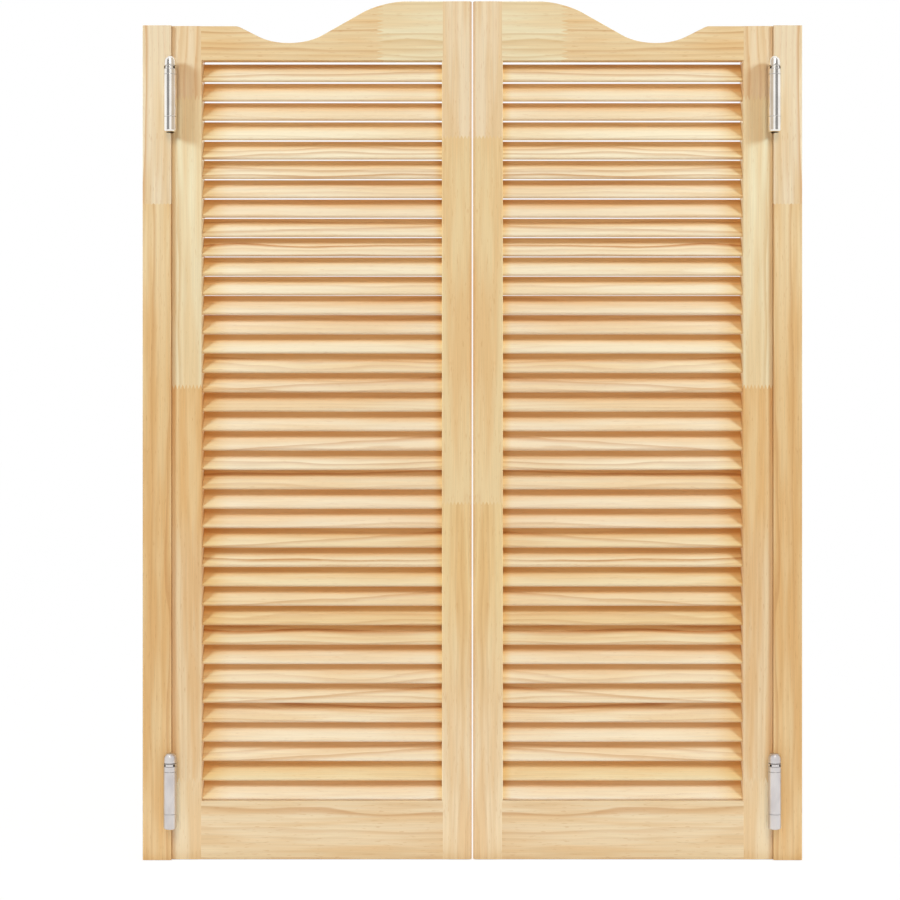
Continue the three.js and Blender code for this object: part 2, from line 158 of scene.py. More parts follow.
def bar(name, radius, low, high, sides=48, tip=None):
    """A round bar between two points; tip gives its far end another radius."""
    bpy.ops.object.select_all(action="DESELECT")
    low, high = Vector(low), Vector(high)
    span = high - low
    bpy.ops.mesh.primitive_cone_add(
        vertices=sides, radius1=radius, radius2=radius if tip is None else tip,
        depth=span.length, location=(low + high) / 2)
    bpy.context.object.rotation_euler = span.to_track_quat("Z", "Y").to_euler()
    return settle(name)


print("primitives: block and bar")

# %% [markdown]
# Then comes edit mode, where faces or edges are picked and an operator runs on what is picked. With a mouse
# one clicks on them. In a script the picking goes by place and direction, which also works when a size
# changes.

# %% Helpers: edit mode
TOUCH = 0.01 * MM


def begin(piece):
    activate(piece)
    bpy.ops.object.mode_set(mode="EDIT")


def end():
    bpy.ops.object.mode_set(mode="OBJECT")


def pick(piece, kind, test):
    """Selects the verts, edges or faces whose middle, and direction or normal, pass the test."""
    bpy.ops.mesh.select_mode(type=kind)
    bpy.ops.mesh.select_all(action="DESELECT")
    shape = bmesh.from_edit_mesh(piece.data)
    if kind == "VERT":
        found = [v for v in shape.verts if test(v.co)]
    elif kind == "EDGE":
        found = [e for e in shape.edges if test(
            (e.verts[0].co + e.verts[1].co) / 2, (e.verts[1].co - e.verts[0].co).normalized())]
    else:
        found = [f for f in shape.faces if test(f.calc_center_median(), f.normal)]
    for element in found:
        element.select_set(True)
    bmesh.update_edit_mesh(piece.data)
    return len(found)


def bisect(place, normal):
    bpy.ops.mesh.select_all(action="SELECT")
    bpy.ops.mesh.bisect(plane_co=place, plane_no=normal)


def bevel(offset, segments):
    bpy.ops.mesh.bevel(offset=offset, segments=segments, affect="EDGES", clamp_overlap=False)


def near(a, b):
    return abs(a - b) < TOUCH


print("places count as equal within", TOUCH, "m")

# %% [markdown]
# Modifiers finish a piece: booleans join and cut, bevels ease the edges, and weighted normals keep flat
# faces flat beside a rounded edge. Each is applied at once, so the mesh holds the final shape. Finished
# pieces are collected in one table, to be dressed at the end.


# %% Helpers: finish a piece
def apply_modifier(piece, kind, **settings):
    activate(piece)
    modifier = piece.modifiers.new(kind.lower(), kind)
    for key, value in settings.items():
        setattr(modifier, key, value)
    bpy.ops.object.modifier_apply(modifier=modifier.name)


def combine(piece, other, operation):
    """Joins or cuts with another shape, which is then used up."""
    apply_modifier(piece, "BOOLEAN", object=other, operation=operation, solver="EXACT")
    bpy.data.objects.remove(other)


def ease_edges(piece, width, segments=3, angle=40):
    apply_modifier(piece, "BEVEL", width=width, segments=segments, limit_method="ANGLE",
                   angle_limit=math.radians(angle), harden_normals=False)


def smooth(piece, angle=35):
    """Rounds the shading of curved faces and keeps flat faces flat."""
    activate(piece)
    bpy.ops.object.shade_smooth_by_angle(angle=math.radians(angle))
    apply_modifier(piece, "WEIGHTED_NORMAL", keep_sharp=True)


def copy_of(piece, name, place=(0, 0, 0), turn=0.0):
    twin = piece.copy()
    twin.data = piece.data.copy()
    twin.name = name
    twin.data.name = name
    twin.data.transform(Matrix.Translation(place) @ Matrix.Rotation(turn, 4, "Z"))
    bpy.context.collection.objects.link(twin)
    return twin


def darken_unpolished_and_shaded(piece, test):
    """Marks the faces that pass the test for the second, dark finish of the piece: unpolished steel that
    also paints shade.
    """
    for face in piece.data.polygons:
        if test(face.center, face.normal):
            face.material_index = 1


made = {}
print("pieces made so far:", len(made))

# %% [markdown]
# ## Slats
# A slat is a thin strip with both long edges rounded to a nose. It slopes down to the front, and its
# ends sit in slots that are routed into the stiles. One slat is modelled as a flat block whose long
# edges are bevelled, then turned to its tilt.

# %% One slat
SLAT_COUNT = 38
SLAT_THICKNESS = 6 * MM
NOSE_SHARE = 0.97
SLAT_TILT = math.radians(52)
SLAT_INSET = 2.35 * MM
SLAT_FOOT_GAP = 0.3 * MM
SLAT_HEAD_GAP = 1 * MM
SLOT_DEPTH = 10 * MM

slat_run = 2 * (door_half - SLAT_INSET)
slat_width = (slat_run - SLAT_THICKNESS) / math.cos(SLAT_TILT) + SLAT_THICKNESS
slat_rise = (slat_width - SLAT_THICKNESS) * math.sin(SLAT_TILT) + SLAT_THICKNESS
first_slat = bottom_rail_top + SLAT_FOOT_GAP + slat_rise / 2
slat_pitch = (soffit - SLAT_HEAD_GAP - slat_rise / 2 - first_slat) / (SLAT_COUNT - 1)
slat_levels = [first_slat + i * slat_pitch for i in range(SLAT_COUNT)]


def tilted_strip(name, start, stop, thickness, width):
    piece = block(name, (start, -width / 2, -thickness / 2), (stop, width / 2, thickness / 2))
    begin(piece)
    pick(piece, "EDGE", lambda middle, way: abs(way.x) > 0.9)
    bevel(thickness / 2 * NOSE_SHARE, segments=5)
    end()
    piece.rotation_euler = (SLAT_TILT, 0, 0)
    activate(piece)
    return settle(name)


slat_ends = (opening_meeting_edge - SLOT_DEPTH + FIT, opening_hinge_edge + SLOT_DEPTH - FIT)
slat = tilted_strip("slat", *slat_ends, SLAT_THICKNESS, slat_width)
smooth(slat)
print("slat:", round(slat_width, 4), "m wide, pitch", round(slat_pitch, 5))

# %% [markdown]
# A router cuts the slots with one template for all of them. The cutter here is the slat's own form with
# some clearance, repeated at the pitch by an array modifier, so slots and slats always agree.


# %% Slot cutters
def slot_cutters(name, inner, outward):
    """All the slots of one stile, from its inner edge into the wood."""
    grown = 2 * FIT
    cutter = tilted_strip(name, inner - outward * MM, inner + outward * SLOT_DEPTH,
                          SLAT_THICKNESS + grown, slat_width + grown)
    cutter.data.transform(Matrix.Translation((0, 0, slat_levels[0])))
    apply_modifier(cutter, "ARRAY", count=SLAT_COUNT, use_relative_offset=False,
                   use_constant_offset=True, constant_offset_displace=(0, 0, slat_pitch))
    return cutter


print("slots:", SLAT_COUNT, "to a stile,", SLOT_DEPTH, "m deep")

# %% [markdown]
# ## Stiles
# A stile is the upright of a door. A narrow strip of it along the slats is stepped back a little, a
# profile that joiners call sticking, and the inner arris is well rounded. Two bisects mark the step, the
# sunk faces are moved in, and bevels round the edges. The slots are cut last, with a boolean, because they
# break through the rounded arris and leave the small dark notches that show beside each slat.

# %% Stile profile
STICKING_WIDTH = 8 * MM
STICKING_STEP = 0.6 * MM
STICKING_RUN = 1.5 * MM
STICKING_RADIUS = 2 * MM
ARRIS_RADIUS = 1.5 * MM
HINGE_ARRIS = 0.35 * MM
HINGE_SWELL = 0.85 * MM
MEETING_RADIUS = 4 * MM
MEETING_SWELL = 0.75 * MM
END_EASE = 0.6 * MM


def moulded_stile(name, side, inner, outer, top, outer_radius):
    outward = 1 if outer > inner else -1
    step = inner + outward * STICKING_WIDTH
    piece = block(name, (side * inner, -door_half, 0), (side * outer, door_half, top))
    begin(piece)
    for place in (step, step + outward * STICKING_RUN):
        bisect((side * place, 0, 0), (1, 0, 0))
    for face in (-1, 1):
        pick(piece, "FACE", lambda middle, normal: (
            normal.y * face > 0.9 and abs(abs(middle.x) - inner) < STICKING_WIDTH))
        bpy.ops.transform.translate(value=(0, -face * STICKING_STEP, 0))
    pick(piece, "EDGE", lambda middle, way: near(abs(middle.x), inner) and abs(way.z) > 0.9)
    bevel(STICKING_RADIUS, segments=6)
    pick(piece, "EDGE", lambda middle, way: near(abs(middle.x), outer) and abs(way.z) > 0.9)
    bevel(outer_radius, segments=5)
    pick(piece, "EDGE", lambda middle, way: near(middle.z, 0) or near(middle.z, top))
    bevel(END_EASE, segments=2)
    end()
    return piece


print("stile width:", round(stile_width, 4))

# %% [markdown]
# The hinge leaves are let into the edges that face each other across the hinge gap. Each recess is a
# shallow housing as deep as the plate, open at the side of its own barrel. Pine swells across its grain,
# so the boards are modelled a little wide and the gaps between them show as the fine lines of the picture.
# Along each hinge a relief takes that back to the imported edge, which leaves the hinge its room.

# %% Housings for the hinge leaves
PLATE = 1.2 * MM
LEAF_FOOT = 2 * MM
LEAF_TOP = 85 * MM
LEAF_REACH = 26 * MM
WEB_TOP = 87 * MM
BARREL_RADIUS = 9 * MM
PLATE_CLEARANCE = 0.5 * MM
leaf_outer = barrel_y - BARREL_RADIUS - PLATE_CLEARANCE


def cut_housings(piece, face, depth_way, barrel):
    inner_end = barrel * (leaf_outer - LEAF_REACH - FIT)
    for level in LEVELS:
        foot = hinge_foot[level]
        low = (face - depth_way * MM, -2 * door_half, foot - FIT)
        combine(piece, block("relief", low, (face, 2 * door_half, foot + WEB_TOP + FIT)), "DIFFERENCE")
        low = (face - depth_way * MM, barrel * 2 * leaf_outer, foot + LEAF_FOOT - FIT)
        high = (face + depth_way * (PLATE + FIT), inner_end, foot + LEAF_TOP + FIT)
        combine(piece, block("housing", low, high), "DIFFERENCE")


print("housing:", round(LEAF_TOP - LEAF_FOOT, 4), "m tall and", round(PLATE + FIT, 4), "m deep")

# %% [markdown]
# Both doors get a hinge stile and a meeting stile from the one profile. The meeting stile runs on to the
# crest, and its outer arrises are rounder, because doors that swing past each other need the room. A table
# keeps, for each piece, the body it rides on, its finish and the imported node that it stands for.

# %% Stiles of both doors
for name, side in SIDES.items():
    stile = moulded_stile(
        f"{name}_hinge_stile_board", side, opening_hinge_edge, stile_high.x + HINGE_SWELL, shoulder,
        HINGE_ARRIS)
    combine(stile, slot_cutters("slots", side * opening_hinge_edge, side), "DIFFERENCE")
    cut_housings(stile, side * stile_high.x, -side, -side)
    smooth(stile)
    made[stile.name] = (stile, f"{name}_door", "stile_pine", f"{name}_hinge_stile")
    meeting = moulded_stile(
        f"{name}_meeting_stile_board", side, opening_meeting_edge, meeting_edge - MEETING_SWELL, crest,
        MEETING_RADIUS)
    combine(meeting, slot_cutters("slots", side * opening_meeting_edge, -side), "DIFFERENCE")
    smooth(meeting)
    made[meeting.name] = (meeting, f"{name}_door", "stile_pine", f"{name}_meeting_stile_and_slats")
    print(stile.name, len(stile.data.polygons), "faces;", meeting.name, len(meeting.data.polygons))

# %% [markdown]
# The bank of slats is the slat copied at an even pitch. Sawn and glued in by hand, no slat lies quite
# like its neighbour, so each copy leans and shifts by a hair within its slot. Each one also carries two
# numbers, a board number and a tone, which the pine finish reads to give it grain of its own. Slats at
# one level of the two doors share the numbers.

# %% Bank of slats
SLAT_SEED = 157337
SLAT_LEAN = math.radians(0.8)
SLAT_SHIFT = 0.12 * MM
TONE_BY_LEVEL = 0.5


def blend_of(first, second, share):
    return first + (second - first) * share


def mark(piece, label, values):
    attribute = piece.data.attributes.new(label, "FLOAT", "POINT")
    attribute.data.foreach_set("value", values)


mark(slat, "rise", [v.co.z / slat_rise + 0.5 for v in slat.data.vertices])
draw = random.Random(SLAT_SEED)
for i, level in enumerate(slat_levels):
    lean = Matrix.Rotation(draw.uniform(-SLAT_LEAN, SLAT_LEAN), 4, "X")
    shift = draw.uniform(-SLAT_SHIFT, SLAT_SHIFT)
    tone = blend_of(draw.random(), 1 - i / (SLAT_COUNT - 1), TONE_BY_LEVEL)
    for name, side in SIDES.items():
        twin = copy_of(slat, f"{name}_slat_{i + 1:02d}")
        twin.data.transform(lean)
        twin.data.transform(Matrix.Translation((0, shift, level)))
        if side < 0:
            twin.data.transform(Matrix.Translation((-slat_ends[0] - slat_ends[1], 0, 0)))
        mark(twin, "board", [i + 1] * len(twin.data.vertices))
        mark(twin, "tone", [tone] * len(twin.data.vertices))
        made[twin.name] = (twin, f"{name}_door", "stile_pine", None)
bpy.data.objects.remove(slat)
print("slats:", 2 * len(slat_levels))

# %% [markdown]
# ## Rails
# The top rail is sawn to a scallop: a level shoulder by the hinges, a dip, and a crest that runs on to
# the meeting stile. A block is bisected at the three corners of that line, the corners are moved to
# their heights, and each is bevelled with as much offset as its arc needs. The under edge slopes up to
# the back, so that light comes in over the top slat.

# %% Scalloped top rail
SHOULDER_RUN = 49.5 * MM
SHOULDER_RADIUS = 15 * MM
DIP_RUN = 74.5 * MM
DIP_DROP = 37.5 * MM
DIP_RADIUS = 95 * MM
CREST_RUN = 127.5 * MM
CREST_RADIUS = 120 * MM
SOFFIT_LIP = 12 * MM
SOFFIT_RISE = 9 * MM
COPE = 3 * MM
RAIL_EASE = 0.9 * MM

rail_ends = (opening_meeting_edge - COPE, opening_hinge_edge + COPE)
shoulder_end = opening_hinge_edge - FIT - SHOULDER_RUN
dip = shoulder_end - DIP_RUN
crest_start = dip - CREST_RUN
fall = math.atan2(DIP_DROP, DIP_RUN)
climb = math.atan2(crest - shoulder + DIP_DROP, CREST_RUN)


def arc_offset(radius, turn):
    return radius * math.tan(turn / 2)


def top_rail(name, side):
    low = (side * rail_ends[0], -rail_half, soffit)
    piece = block(name, low, (side * rail_ends[1], rail_half, shoulder))
    begin(piece)
    for corner in (shoulder_end, dip, crest_start):
        bisect((side * corner, 0, 0), (1, 0, 0))
    pick(piece, "VERT", lambda v: near(abs(v.x), dip) and near(v.z, shoulder))
    bpy.ops.transform.translate(value=(0, 0, -DIP_DROP))
    pick(piece, "VERT", lambda v: abs(v.x) < crest_start + MM and near(v.z, shoulder))
    bpy.ops.transform.translate(value=(0, 0, crest - shoulder))
    arcs = (
        (shoulder_end, shoulder, SHOULDER_RADIUS, fall, 6),
        (dip, shoulder - DIP_DROP, DIP_RADIUS, fall + climb, 20),
        (crest_start, crest, CREST_RADIUS, climb, 16),
    )
    for place, height, radius, turn, segments in arcs:
        pick(piece, "EDGE", lambda middle, way: (
            near(abs(middle.x), place) and near(middle.z, height) and abs(way.y) > 0.9))
        bevel(arc_offset(radius, turn), segments)
    bisect((0, SOFFIT_LIP - rail_half, 0), (0, 1, 0))
    pick(piece, "VERT", lambda v: near(v.z, soffit) and near(v.y, rail_half))
    bpy.ops.transform.translate(value=(0, 0, SOFFIT_RISE))
    bpy.ops.mesh.select_all(action="SELECT")
    bpy.ops.mesh.dissolve_limited(angle_limit=math.radians(1))
    end()
    return piece


print("scallop: dip of", DIP_DROP, "m below the shoulder, crest", round(crest - shoulder, 4), "m above it")

# %% [markdown]
# The bottom rail is a straight board. Both rails have eased edges, and their ends are coped, which means
# cut to the counter-form of the stile they meet. A boolean with the finished stiles does just that.


# %% Rails of both doors
def bottom_rail(name, side):
    low = (side * rail_ends[0], -rail_half, 0)
    return block(name, low, (side * rail_ends[1], rail_half, bottom_rail_top))


def cope(piece, name):
    """Eases a rail and fits its ends to the rounded arrises of the stiles."""
    ease_edges(piece, RAIL_EASE)
    for stile in (f"{name}_hinge_stile_board", f"{name}_meeting_stile_board"):
        apply_modifier(piece, "BOOLEAN", object=made[stile][0], operation="DIFFERENCE", solver="EXACT")
    smooth(piece)


for name, side in SIDES.items():
    top = top_rail(f"{name}_top_rail_board", side)
    bottom = bottom_rail(f"{name}_bottom_rail_board", side)
    cope(top, name)
    cope(bottom, name)
    made[top.name] = (top, f"{name}_door", "rail_pine", f"{name}_top_rail")
    made[bottom.name] = (bottom, f"{name}_door", "rail_pine", f"{name}_bottom_rail")
    print(top.name, len(top.data.polygons), "faces")

# %% [markdown]
# ## Posts
# The posts are plain planed strips with eased arrises, screwed to the sides of a doorway. Each is a block
# whose edges are bevelled, with housings for the leaves of the hinges.

# %% Jamb posts
for name, side in SIDES.items():
    inner = post_low.x - HINGE_SWELL
    low = (side * inner, post_low.y, 0)
    post = block(f"{name}_post_board", low, (side * post_high.x, post_high.y, shoulder))
    begin(post)
    pick(post, "EDGE", lambda middle, way: near(abs(middle.x), post_high.x) and abs(way.z) > 0.9)
    bevel(ARRIS_RADIUS, segments=4)
    pick(post, "EDGE", lambda middle, way: near(abs(middle.x), inner) and abs(way.z) > 0.9)
    bevel(HINGE_ARRIS, segments=3)
    pick(post, "EDGE", lambda middle, way: near(middle.z, 0) or near(middle.z, shoulder))
    bevel(END_EASE, segments=2)
    end()
    cut_housings(post, side * post_low.x, side, side)
    smooth(post)
    made[post.name] = (post, "jambs", "jamb_pine", f"{name}_jamb_post")
    print(post.name, len(post.data.polygons), "faces")

# %% [markdown]
# ## Spring hinges
# A double-action hinge has two barrels joined by a web. Each leaf is a plate that carries the spring
# tube of one barrel, and the web carries the knuckles above and below both tubes. All four hinges are
# one pattern, so each piece is modelled once, with the hinge line at the origin, and copied.

# %% Hinge leaf
TUBE_FOOT = 21 * MM
TUBE_TOP = 80 * MM
TUBE_WALL = 1.5 * MM
HINGE_GAP_HALF = 1 * MM
LEAF_CORNER = 4 * MM
SCREW_HEAD = 3.6 * MM
SCREW_SHANK = 2 * MM
SCREW_EDGE = 8 * MM
SINK_PROUD = 0.001 * MM
METAL_EASE = 0.35 * MM


def eased_bar(name, radius, place, foot, top, ease, sides=48):
    piece = bar(name, radius, (0, place, foot), (0, place, top), sides)
    ease_edges(piece, ease, 3, 60)
    return piece


leaf_inner = LEAF_REACH - leaf_outer
screw_rows = [LEAF_FOOT + SCREW_EDGE, (LEAF_FOOT + LEAF_TOP) / 2, LEAF_TOP - SCREW_EDGE]
screw_columns = [leaf_inner - SCREW_EDGE, SCREW_EDGE - leaf_outer, leaf_inner - SCREW_EDGE]
screw_places = list(zip(screw_columns, screw_rows))

leaf_face = -HINGE_GAP_HALF
leaf_back = leaf_face - PLATE
leaf = block("leaf", (leaf_back, -leaf_outer, LEAF_FOOT), (leaf_face, leaf_inner, LEAF_TOP))
begin(leaf)
pick(leaf, "EDGE", lambda middle, way: near(middle.y, leaf_inner) and abs(way.x) > 0.9)
bevel(LEAF_CORNER, segments=6)
end()
tube_foot = TUBE_FOOT + FIT
tube_top = TUBE_TOP - FIT
tube_wall_y = BARREL_RADIUS - TUBE_WALL / 2 - barrel_y
neck = block("neck", (leaf_back, tube_wall_y, tube_foot), (leaf_face, 0, tube_top))
combine(leaf, neck, "UNION")
tube = eased_bar("tube", BARREL_RADIUS, -barrel_y, tube_foot, tube_top, METAL_EASE)
combine(leaf, tube, "UNION")
cavity = bar("cavity", BARREL_RADIUS - TUBE_WALL, (0, -barrel_y, TUBE_FOOT), (0, -barrel_y, TUBE_TOP))
combine(leaf, cavity, "DIFFERENCE")
for y, z in screw_places:
    sink_mouth = (leaf_face + SINK_PROUD, y, z)
    sink = bar("sink", SCREW_HEAD, sink_mouth, (leaf_back, y, z), 24, SCREW_SHANK)
    combine(leaf, sink, "DIFFERENCE")
smooth(leaf)
print("leaf:", len(leaf.data.polygons), "faces")

# %% [markdown]
# The web is the plate between the two barrels, with a knuckle at each end of each barrel. Arms reach past
# the plate to the knuckles, above and below the spring tubes. A knuckle is a bar, and the lower ones end in
# a rolled edge round a hollow, made with a bevel, an inset and an extrude. Booleans join it all and bore
# it for the spindles.

# %% Hinge web with its four knuckles
FOOT_ROUND = 2.5 * MM
FOOT_RIM = 0.7 * MM
FOOT_HOLLOW = 2.5 * MM
KNUCKLE_FLOOR = 4 * MM
SPINDLE_RADIUS = 3.2 * MM
bore = SPINDLE_RADIUS + FIT

web = block("web", (-PLATE / 2, -leaf_outer, FOOT_ROUND), (PLATE / 2, leaf_outer, WEB_TOP))
reach = barrel_y - bore - TUBE_WALL
for foot, top in ((FOOT_ROUND, TUBE_FOOT), (TUBE_TOP, WEB_TOP)):
    combine(web, block("arm", (-PLATE / 2, -reach, foot), (PLATE / 2, reach, top)), "UNION")
for place in (-barrel_y, barrel_y):
    foot = bar("foot", BARREL_RADIUS, (0, place, 0), (0, place, TUBE_FOOT))
    begin(foot)
    pick(foot, "EDGE", lambda middle, way: near(middle.z, 0))
    bevel(FOOT_ROUND, segments=5)
    pick(foot, "EDGE", lambda middle, way: near(middle.z, TUBE_FOOT))
    bevel(METAL_EASE, segments=3)
    pick(foot, "FACE", lambda middle, normal: normal.z < -0.99)
    bpy.ops.mesh.inset(thickness=FOOT_RIM)
    bpy.ops.mesh.extrude_region_move(TRANSFORM_OT_translate={"value": (0, 0, FOOT_HOLLOW)})
    end()
    combine(web, foot, "UNION")
    combine(web, eased_bar("head", BARREL_RADIUS, place, TUBE_TOP, WEB_TOP, METAL_EASE), "UNION")
    spindle_bore = bar("bore", bore, (0, place, KNUCKLE_FLOOR), (0, place, WEB_TOP + MM), 32)
    combine(web, spindle_bore, "DIFFERENCE")
smooth(web)
hollow_radius = BARREL_RADIUS - FOOT_ROUND - FOOT_RIM
# The hollow in each foot gets the dark finish: unpolished inside, and the dark also paints the shade inside
# the tube.
darken_unpolished_and_shaded(web, lambda middle, normal: (
    middle.z < FOOT_HOLLOW + FIT and math.hypot(middle.x, abs(middle.y) - barrel_y) < hollow_radius + FIT))
print("web:", len(web.data.polygons), "faces")

# %% [markdown]
# The spindle is a turned pin with a cap that shows above the barrel. It starts as a bar, and its top face
# is extruded and scaled ring by ring along the profile of the cap, whose crown is chamfered. The collar
# below the cap has four holes for the bar that winds the spring.

# %% Spindle and tension collar
COLLAR_TOP = 91 * MM
CAP_NECK = (7.4 * MM, 0.8 * MM)
CAP_PROFILE = ((8.7, 92.1), (8.5, 98.6), (7.1, 102.4), (5.2, 104.6), (4.2, 105.0), (0.05, 105.0))
CAP_EASE = 0.2 * MM
HOLE_RADIUS = 1.7 * MM
HOLE_DEPTH = 3.5 * MM
HOLE_COUNT = 4

cap_bottom = COLLAR_TOP + FIT
spindle = bar("spindle", SPINDLE_RADIUS, (0, 0, KNUCKLE_FLOOR + FIT), (0, 0, cap_bottom))
rings = [(CAP_NECK[0], cap_bottom), (CAP_NECK[0], cap_bottom + CAP_NECK[1])]
rings += [(radius * MM, height * MM) for radius, height in CAP_PROFILE]
begin(spindle)
pick(spindle, "FACE", lambda middle, normal: normal.z > 0.9)
radius, height = SPINDLE_RADIUS, cap_bottom
for next_radius, next_height in rings:
    rise = (0, 0, next_height - height)
    bpy.ops.mesh.extrude_region_move(TRANSFORM_OT_translate={"value": rise})
    bpy.ops.transform.resize(value=(next_radius / radius, next_radius / radius, 1))
    radius, height = next_radius, next_height
end()
ease_edges(spindle, CAP_EASE, 2, 20)
smooth(spindle, 24)
# The neck under the cap gets the dark finish, which paints the shade under the cap's rim.
darken_unpolished_and_shaded(spindle, lambda middle, normal: near(middle.z, cap_bottom + CAP_NECK[1] / 2))

collar = eased_bar("collar", BARREL_RADIUS, 0, WEB_TOP + FIT, COLLAR_TOP, METAL_EASE)
combine(collar, bar("bore", bore, (0, 0, WEB_TOP), (0, 0, COLLAR_TOP + MM), 32), "DIFFERENCE")
hole_floor = BARREL_RADIUS - HOLE_DEPTH
for k in range(HOLE_COUNT):
    angle = (k + 0.5) / HOLE_COUNT * math.tau
    way = Vector((math.cos(angle), math.sin(angle), 0))
    middle = Vector((0, 0, (WEB_TOP + FIT + COLLAR_TOP) / 2))
    drill = bar("drill", HOLE_RADIUS, middle + way * hole_floor, middle + way * (BARREL_RADIUS + MM), 20)
    combine(collar, drill, "DIFFERENCE")
smooth(collar)
# The walls of the holes get the dark finish: unpolished steel, darkened further as painted shade inside the
# holes.
darken_unpolished_and_shaded(collar, lambda middle, normal: (
    hole_floor - FIT < math.hypot(middle.x, middle.y) < BARREL_RADIUS - FIT and abs(normal.z) < 0.99))
print("spindle and collar:", len(spindle.data.polygons), len(collar.data.polygons), "faces")

# %% [markdown]
# Three countersunk screws hold each leaf. Their heads lie flush in the plate and have a cross recess.
# One head is made from a cone with an eased rim, and two thin blocks cut the cross.

# %% Countersunk screws
RECESS_ARM = 2 * MM
RECESS_HALF = 0.45 * MM
RECESS_DEPTH = 0.9 * MM
HEAD_GAP = 0.15 * MM
HEAD_SINK = 0.1 * MM
HEAD_EASE = 0.1 * MM

face_x = leaf_face - HEAD_SINK
head = SCREW_HEAD - HEAD_GAP
shank = SCREW_SHANK - HEAD_GAP
screw = bar("screw", head, (face_x, 0, 0), (face_x - PLATE, 0, 0), 32, shank)
ease_edges(screw, HEAD_EASE, 2, 30)
for arm_y, arm_z in ((RECESS_ARM, RECESS_HALF), (RECESS_HALF, RECESS_ARM)):
    slot = block("slot", (face_x - RECESS_DEPTH, -arm_y, -arm_z), (face_x + MM, arm_y, arm_z))
    combine(screw, slot, "DIFFERENCE")
smooth(screw)
screws = [copy_of(screw, f"screw_{k}", (0, y, z)) for k, (y, z) in enumerate(screw_places)]
bpy.ops.object.select_all(action="DESELECT")
for each in screws:
    each.select_set(True)
bpy.context.view_layer.objects.active = screws[0]
bpy.ops.object.join()
screw_set = bpy.context.object
bpy.data.objects.remove(screw)
print("screw set:", len(screw_set.data.polygons), "faces")

# %% [markdown]
# Now the pattern pieces are set out on the four hinges. The front leaf keeps its turn and the back leaf
# is turned half round. On the left the front leaf holds the post, and on the right the back one does.

# %% Set out the hinges
FRONT_LEAF = {"left": "jamb", "right": "door"}
FINISH = {"lower": "satin_steel", "upper": "polished_steel"}


def body_of_leaf(side_name, carrier):
    return "jambs" if carrier == "jamb" else f"{side_name}_door"


for name, side in SIDES.items():
    for level in LEVELS:
        place = Vector((side * hinge_line, 0, hinge_foot[level]))
        finish = FINISH[level]
        tag = f"{name}_{level}"
        piece = copy_of(web, f"{tag}_hinge_web", place)
        made[piece.name] = (piece, f"{name}_hinge_webs", finish, f"{tag}_web")
        for barrel, way in BARRELS.items():
            front = barrel == "front"
            carrier = FRONT_LEAF[name] if front else {"jamb": "door", "door": "jamb"}[FRONT_LEAF[name]]
            turn = 0.0 if front else math.pi
            body = body_of_leaf(name, carrier)
            piece = copy_of(leaf, f"{tag}_{carrier}_hinge_leaf", place, turn)
            made[piece.name] = (piece, body, finish, f"{tag}_{carrier}_leaf")
            piece = copy_of(screw_set, f"{tag}_{carrier}_leaf_screws", place, turn)
            made[piece.name] = (piece, body, "satin_steel", None)
            at = place + Vector((0, way * barrel_y, 0))
            for pattern, label in ((spindle, "spindle"), (collar, "collar")):
                piece = copy_of(pattern, f"{tag}_{barrel}_turned_{label}", at)
                made[piece.name] = (piece, f"{tag}_{barrel}_tension", finish, f"{tag}_{barrel}_{label}")
for pattern in (leaf, web, spindle, collar, screw_set):
    bpy.data.objects.remove(pattern)
print("pieces so far:", len(made))

# %% [markdown]
# ## Finishes
# Materials are written with small node helpers. A value given to a socket is set on it, and another
# socket is linked to it. Colours are written as a picture shows them, and turned into the renderer's own
# values.


# %% Node helpers: values and links
def linear(red, green, blue):
    """A colour as a picture shows it, 0 to 255, in the renderer's linear values."""
    def channel(c):
        c /= 255
        return c / 12.92 if c <= 0.04045 else ((c + 0.055) / 1.055) ** 2.4
    return (channel(red), channel(green), channel(blue), 1.0)


def put(tree, socket, value):
    if isinstance(value, bpy.types.NodeSocket):
        tree.links.new(value, socket)
    else:
        socket.default_value = value


def add(tree, kind, *values, **settings):
    node = tree.nodes.new(kind)
    for key, value in settings.items():
        setattr(node, key, value)
    for socket, value in zip(node.inputs, values):
        if value is not None:
            put(tree, socket, value)
    return node


def calc(tree, operation, *values):
    return add(tree, "ShaderNodeMath", *values, operation=operation).outputs[0]


def vector(tree, operation, *values):
    return add(tree, "ShaderNodeVectorMath", *values, operation=operation).outputs[0]


print("mid grey as a picture shows it:", round(linear(128, 128, 128)[0], 3), "to the renderer")

# %% [markdown]
# Three more helpers cover what a finish is mostly made of: mixing two colours, stretching a range of values
# with soft ends, and a noise that can be drawn out along the grain. A node group packs an effect that more
# than one material uses.


# %% Node helpers: colour, noise and groups
def blend(tree, share, first, second, how="MIX"):
    node = add(tree, "ShaderNodeMix", data_type="RGBA", blend_type=how)
    for index, value in ((0, share), (6, first), (7, second)):
        put(tree, node.inputs[index], value)
    return node.outputs[2]


def remap(tree, value, low, high, to_low=0.0, to_high=1.0):
    node = add(tree, "ShaderNodeMapRange", value, low, high, to_low, to_high,
               interpolation_type="SMOOTHSTEP")
    return node.outputs[0]


def noise(tree, place, stretch, detail=2.0):
    stretched = vector(tree, "MULTIPLY", place, stretch)
    return add(tree, "ShaderNodeTexNoise", stretched, None, 1.0, detail, noise_dimensions="3D")


def new_group(name, inputs, outputs):
    group = bpy.data.node_groups.new(name, "ShaderNodeTree")
    for label, kind in inputs:
        group.interface.new_socket(name=label, in_out="INPUT", socket_type="NodeSocket" + kind)
    for label, kind in outputs:
        group.interface.new_socket(name=label, in_out="OUTPUT", socket_type="NodeSocket" + kind)
    return group, group.nodes.new("NodeGroupInput").outputs, group.nodes.new("NodeGroupOutput").inputs


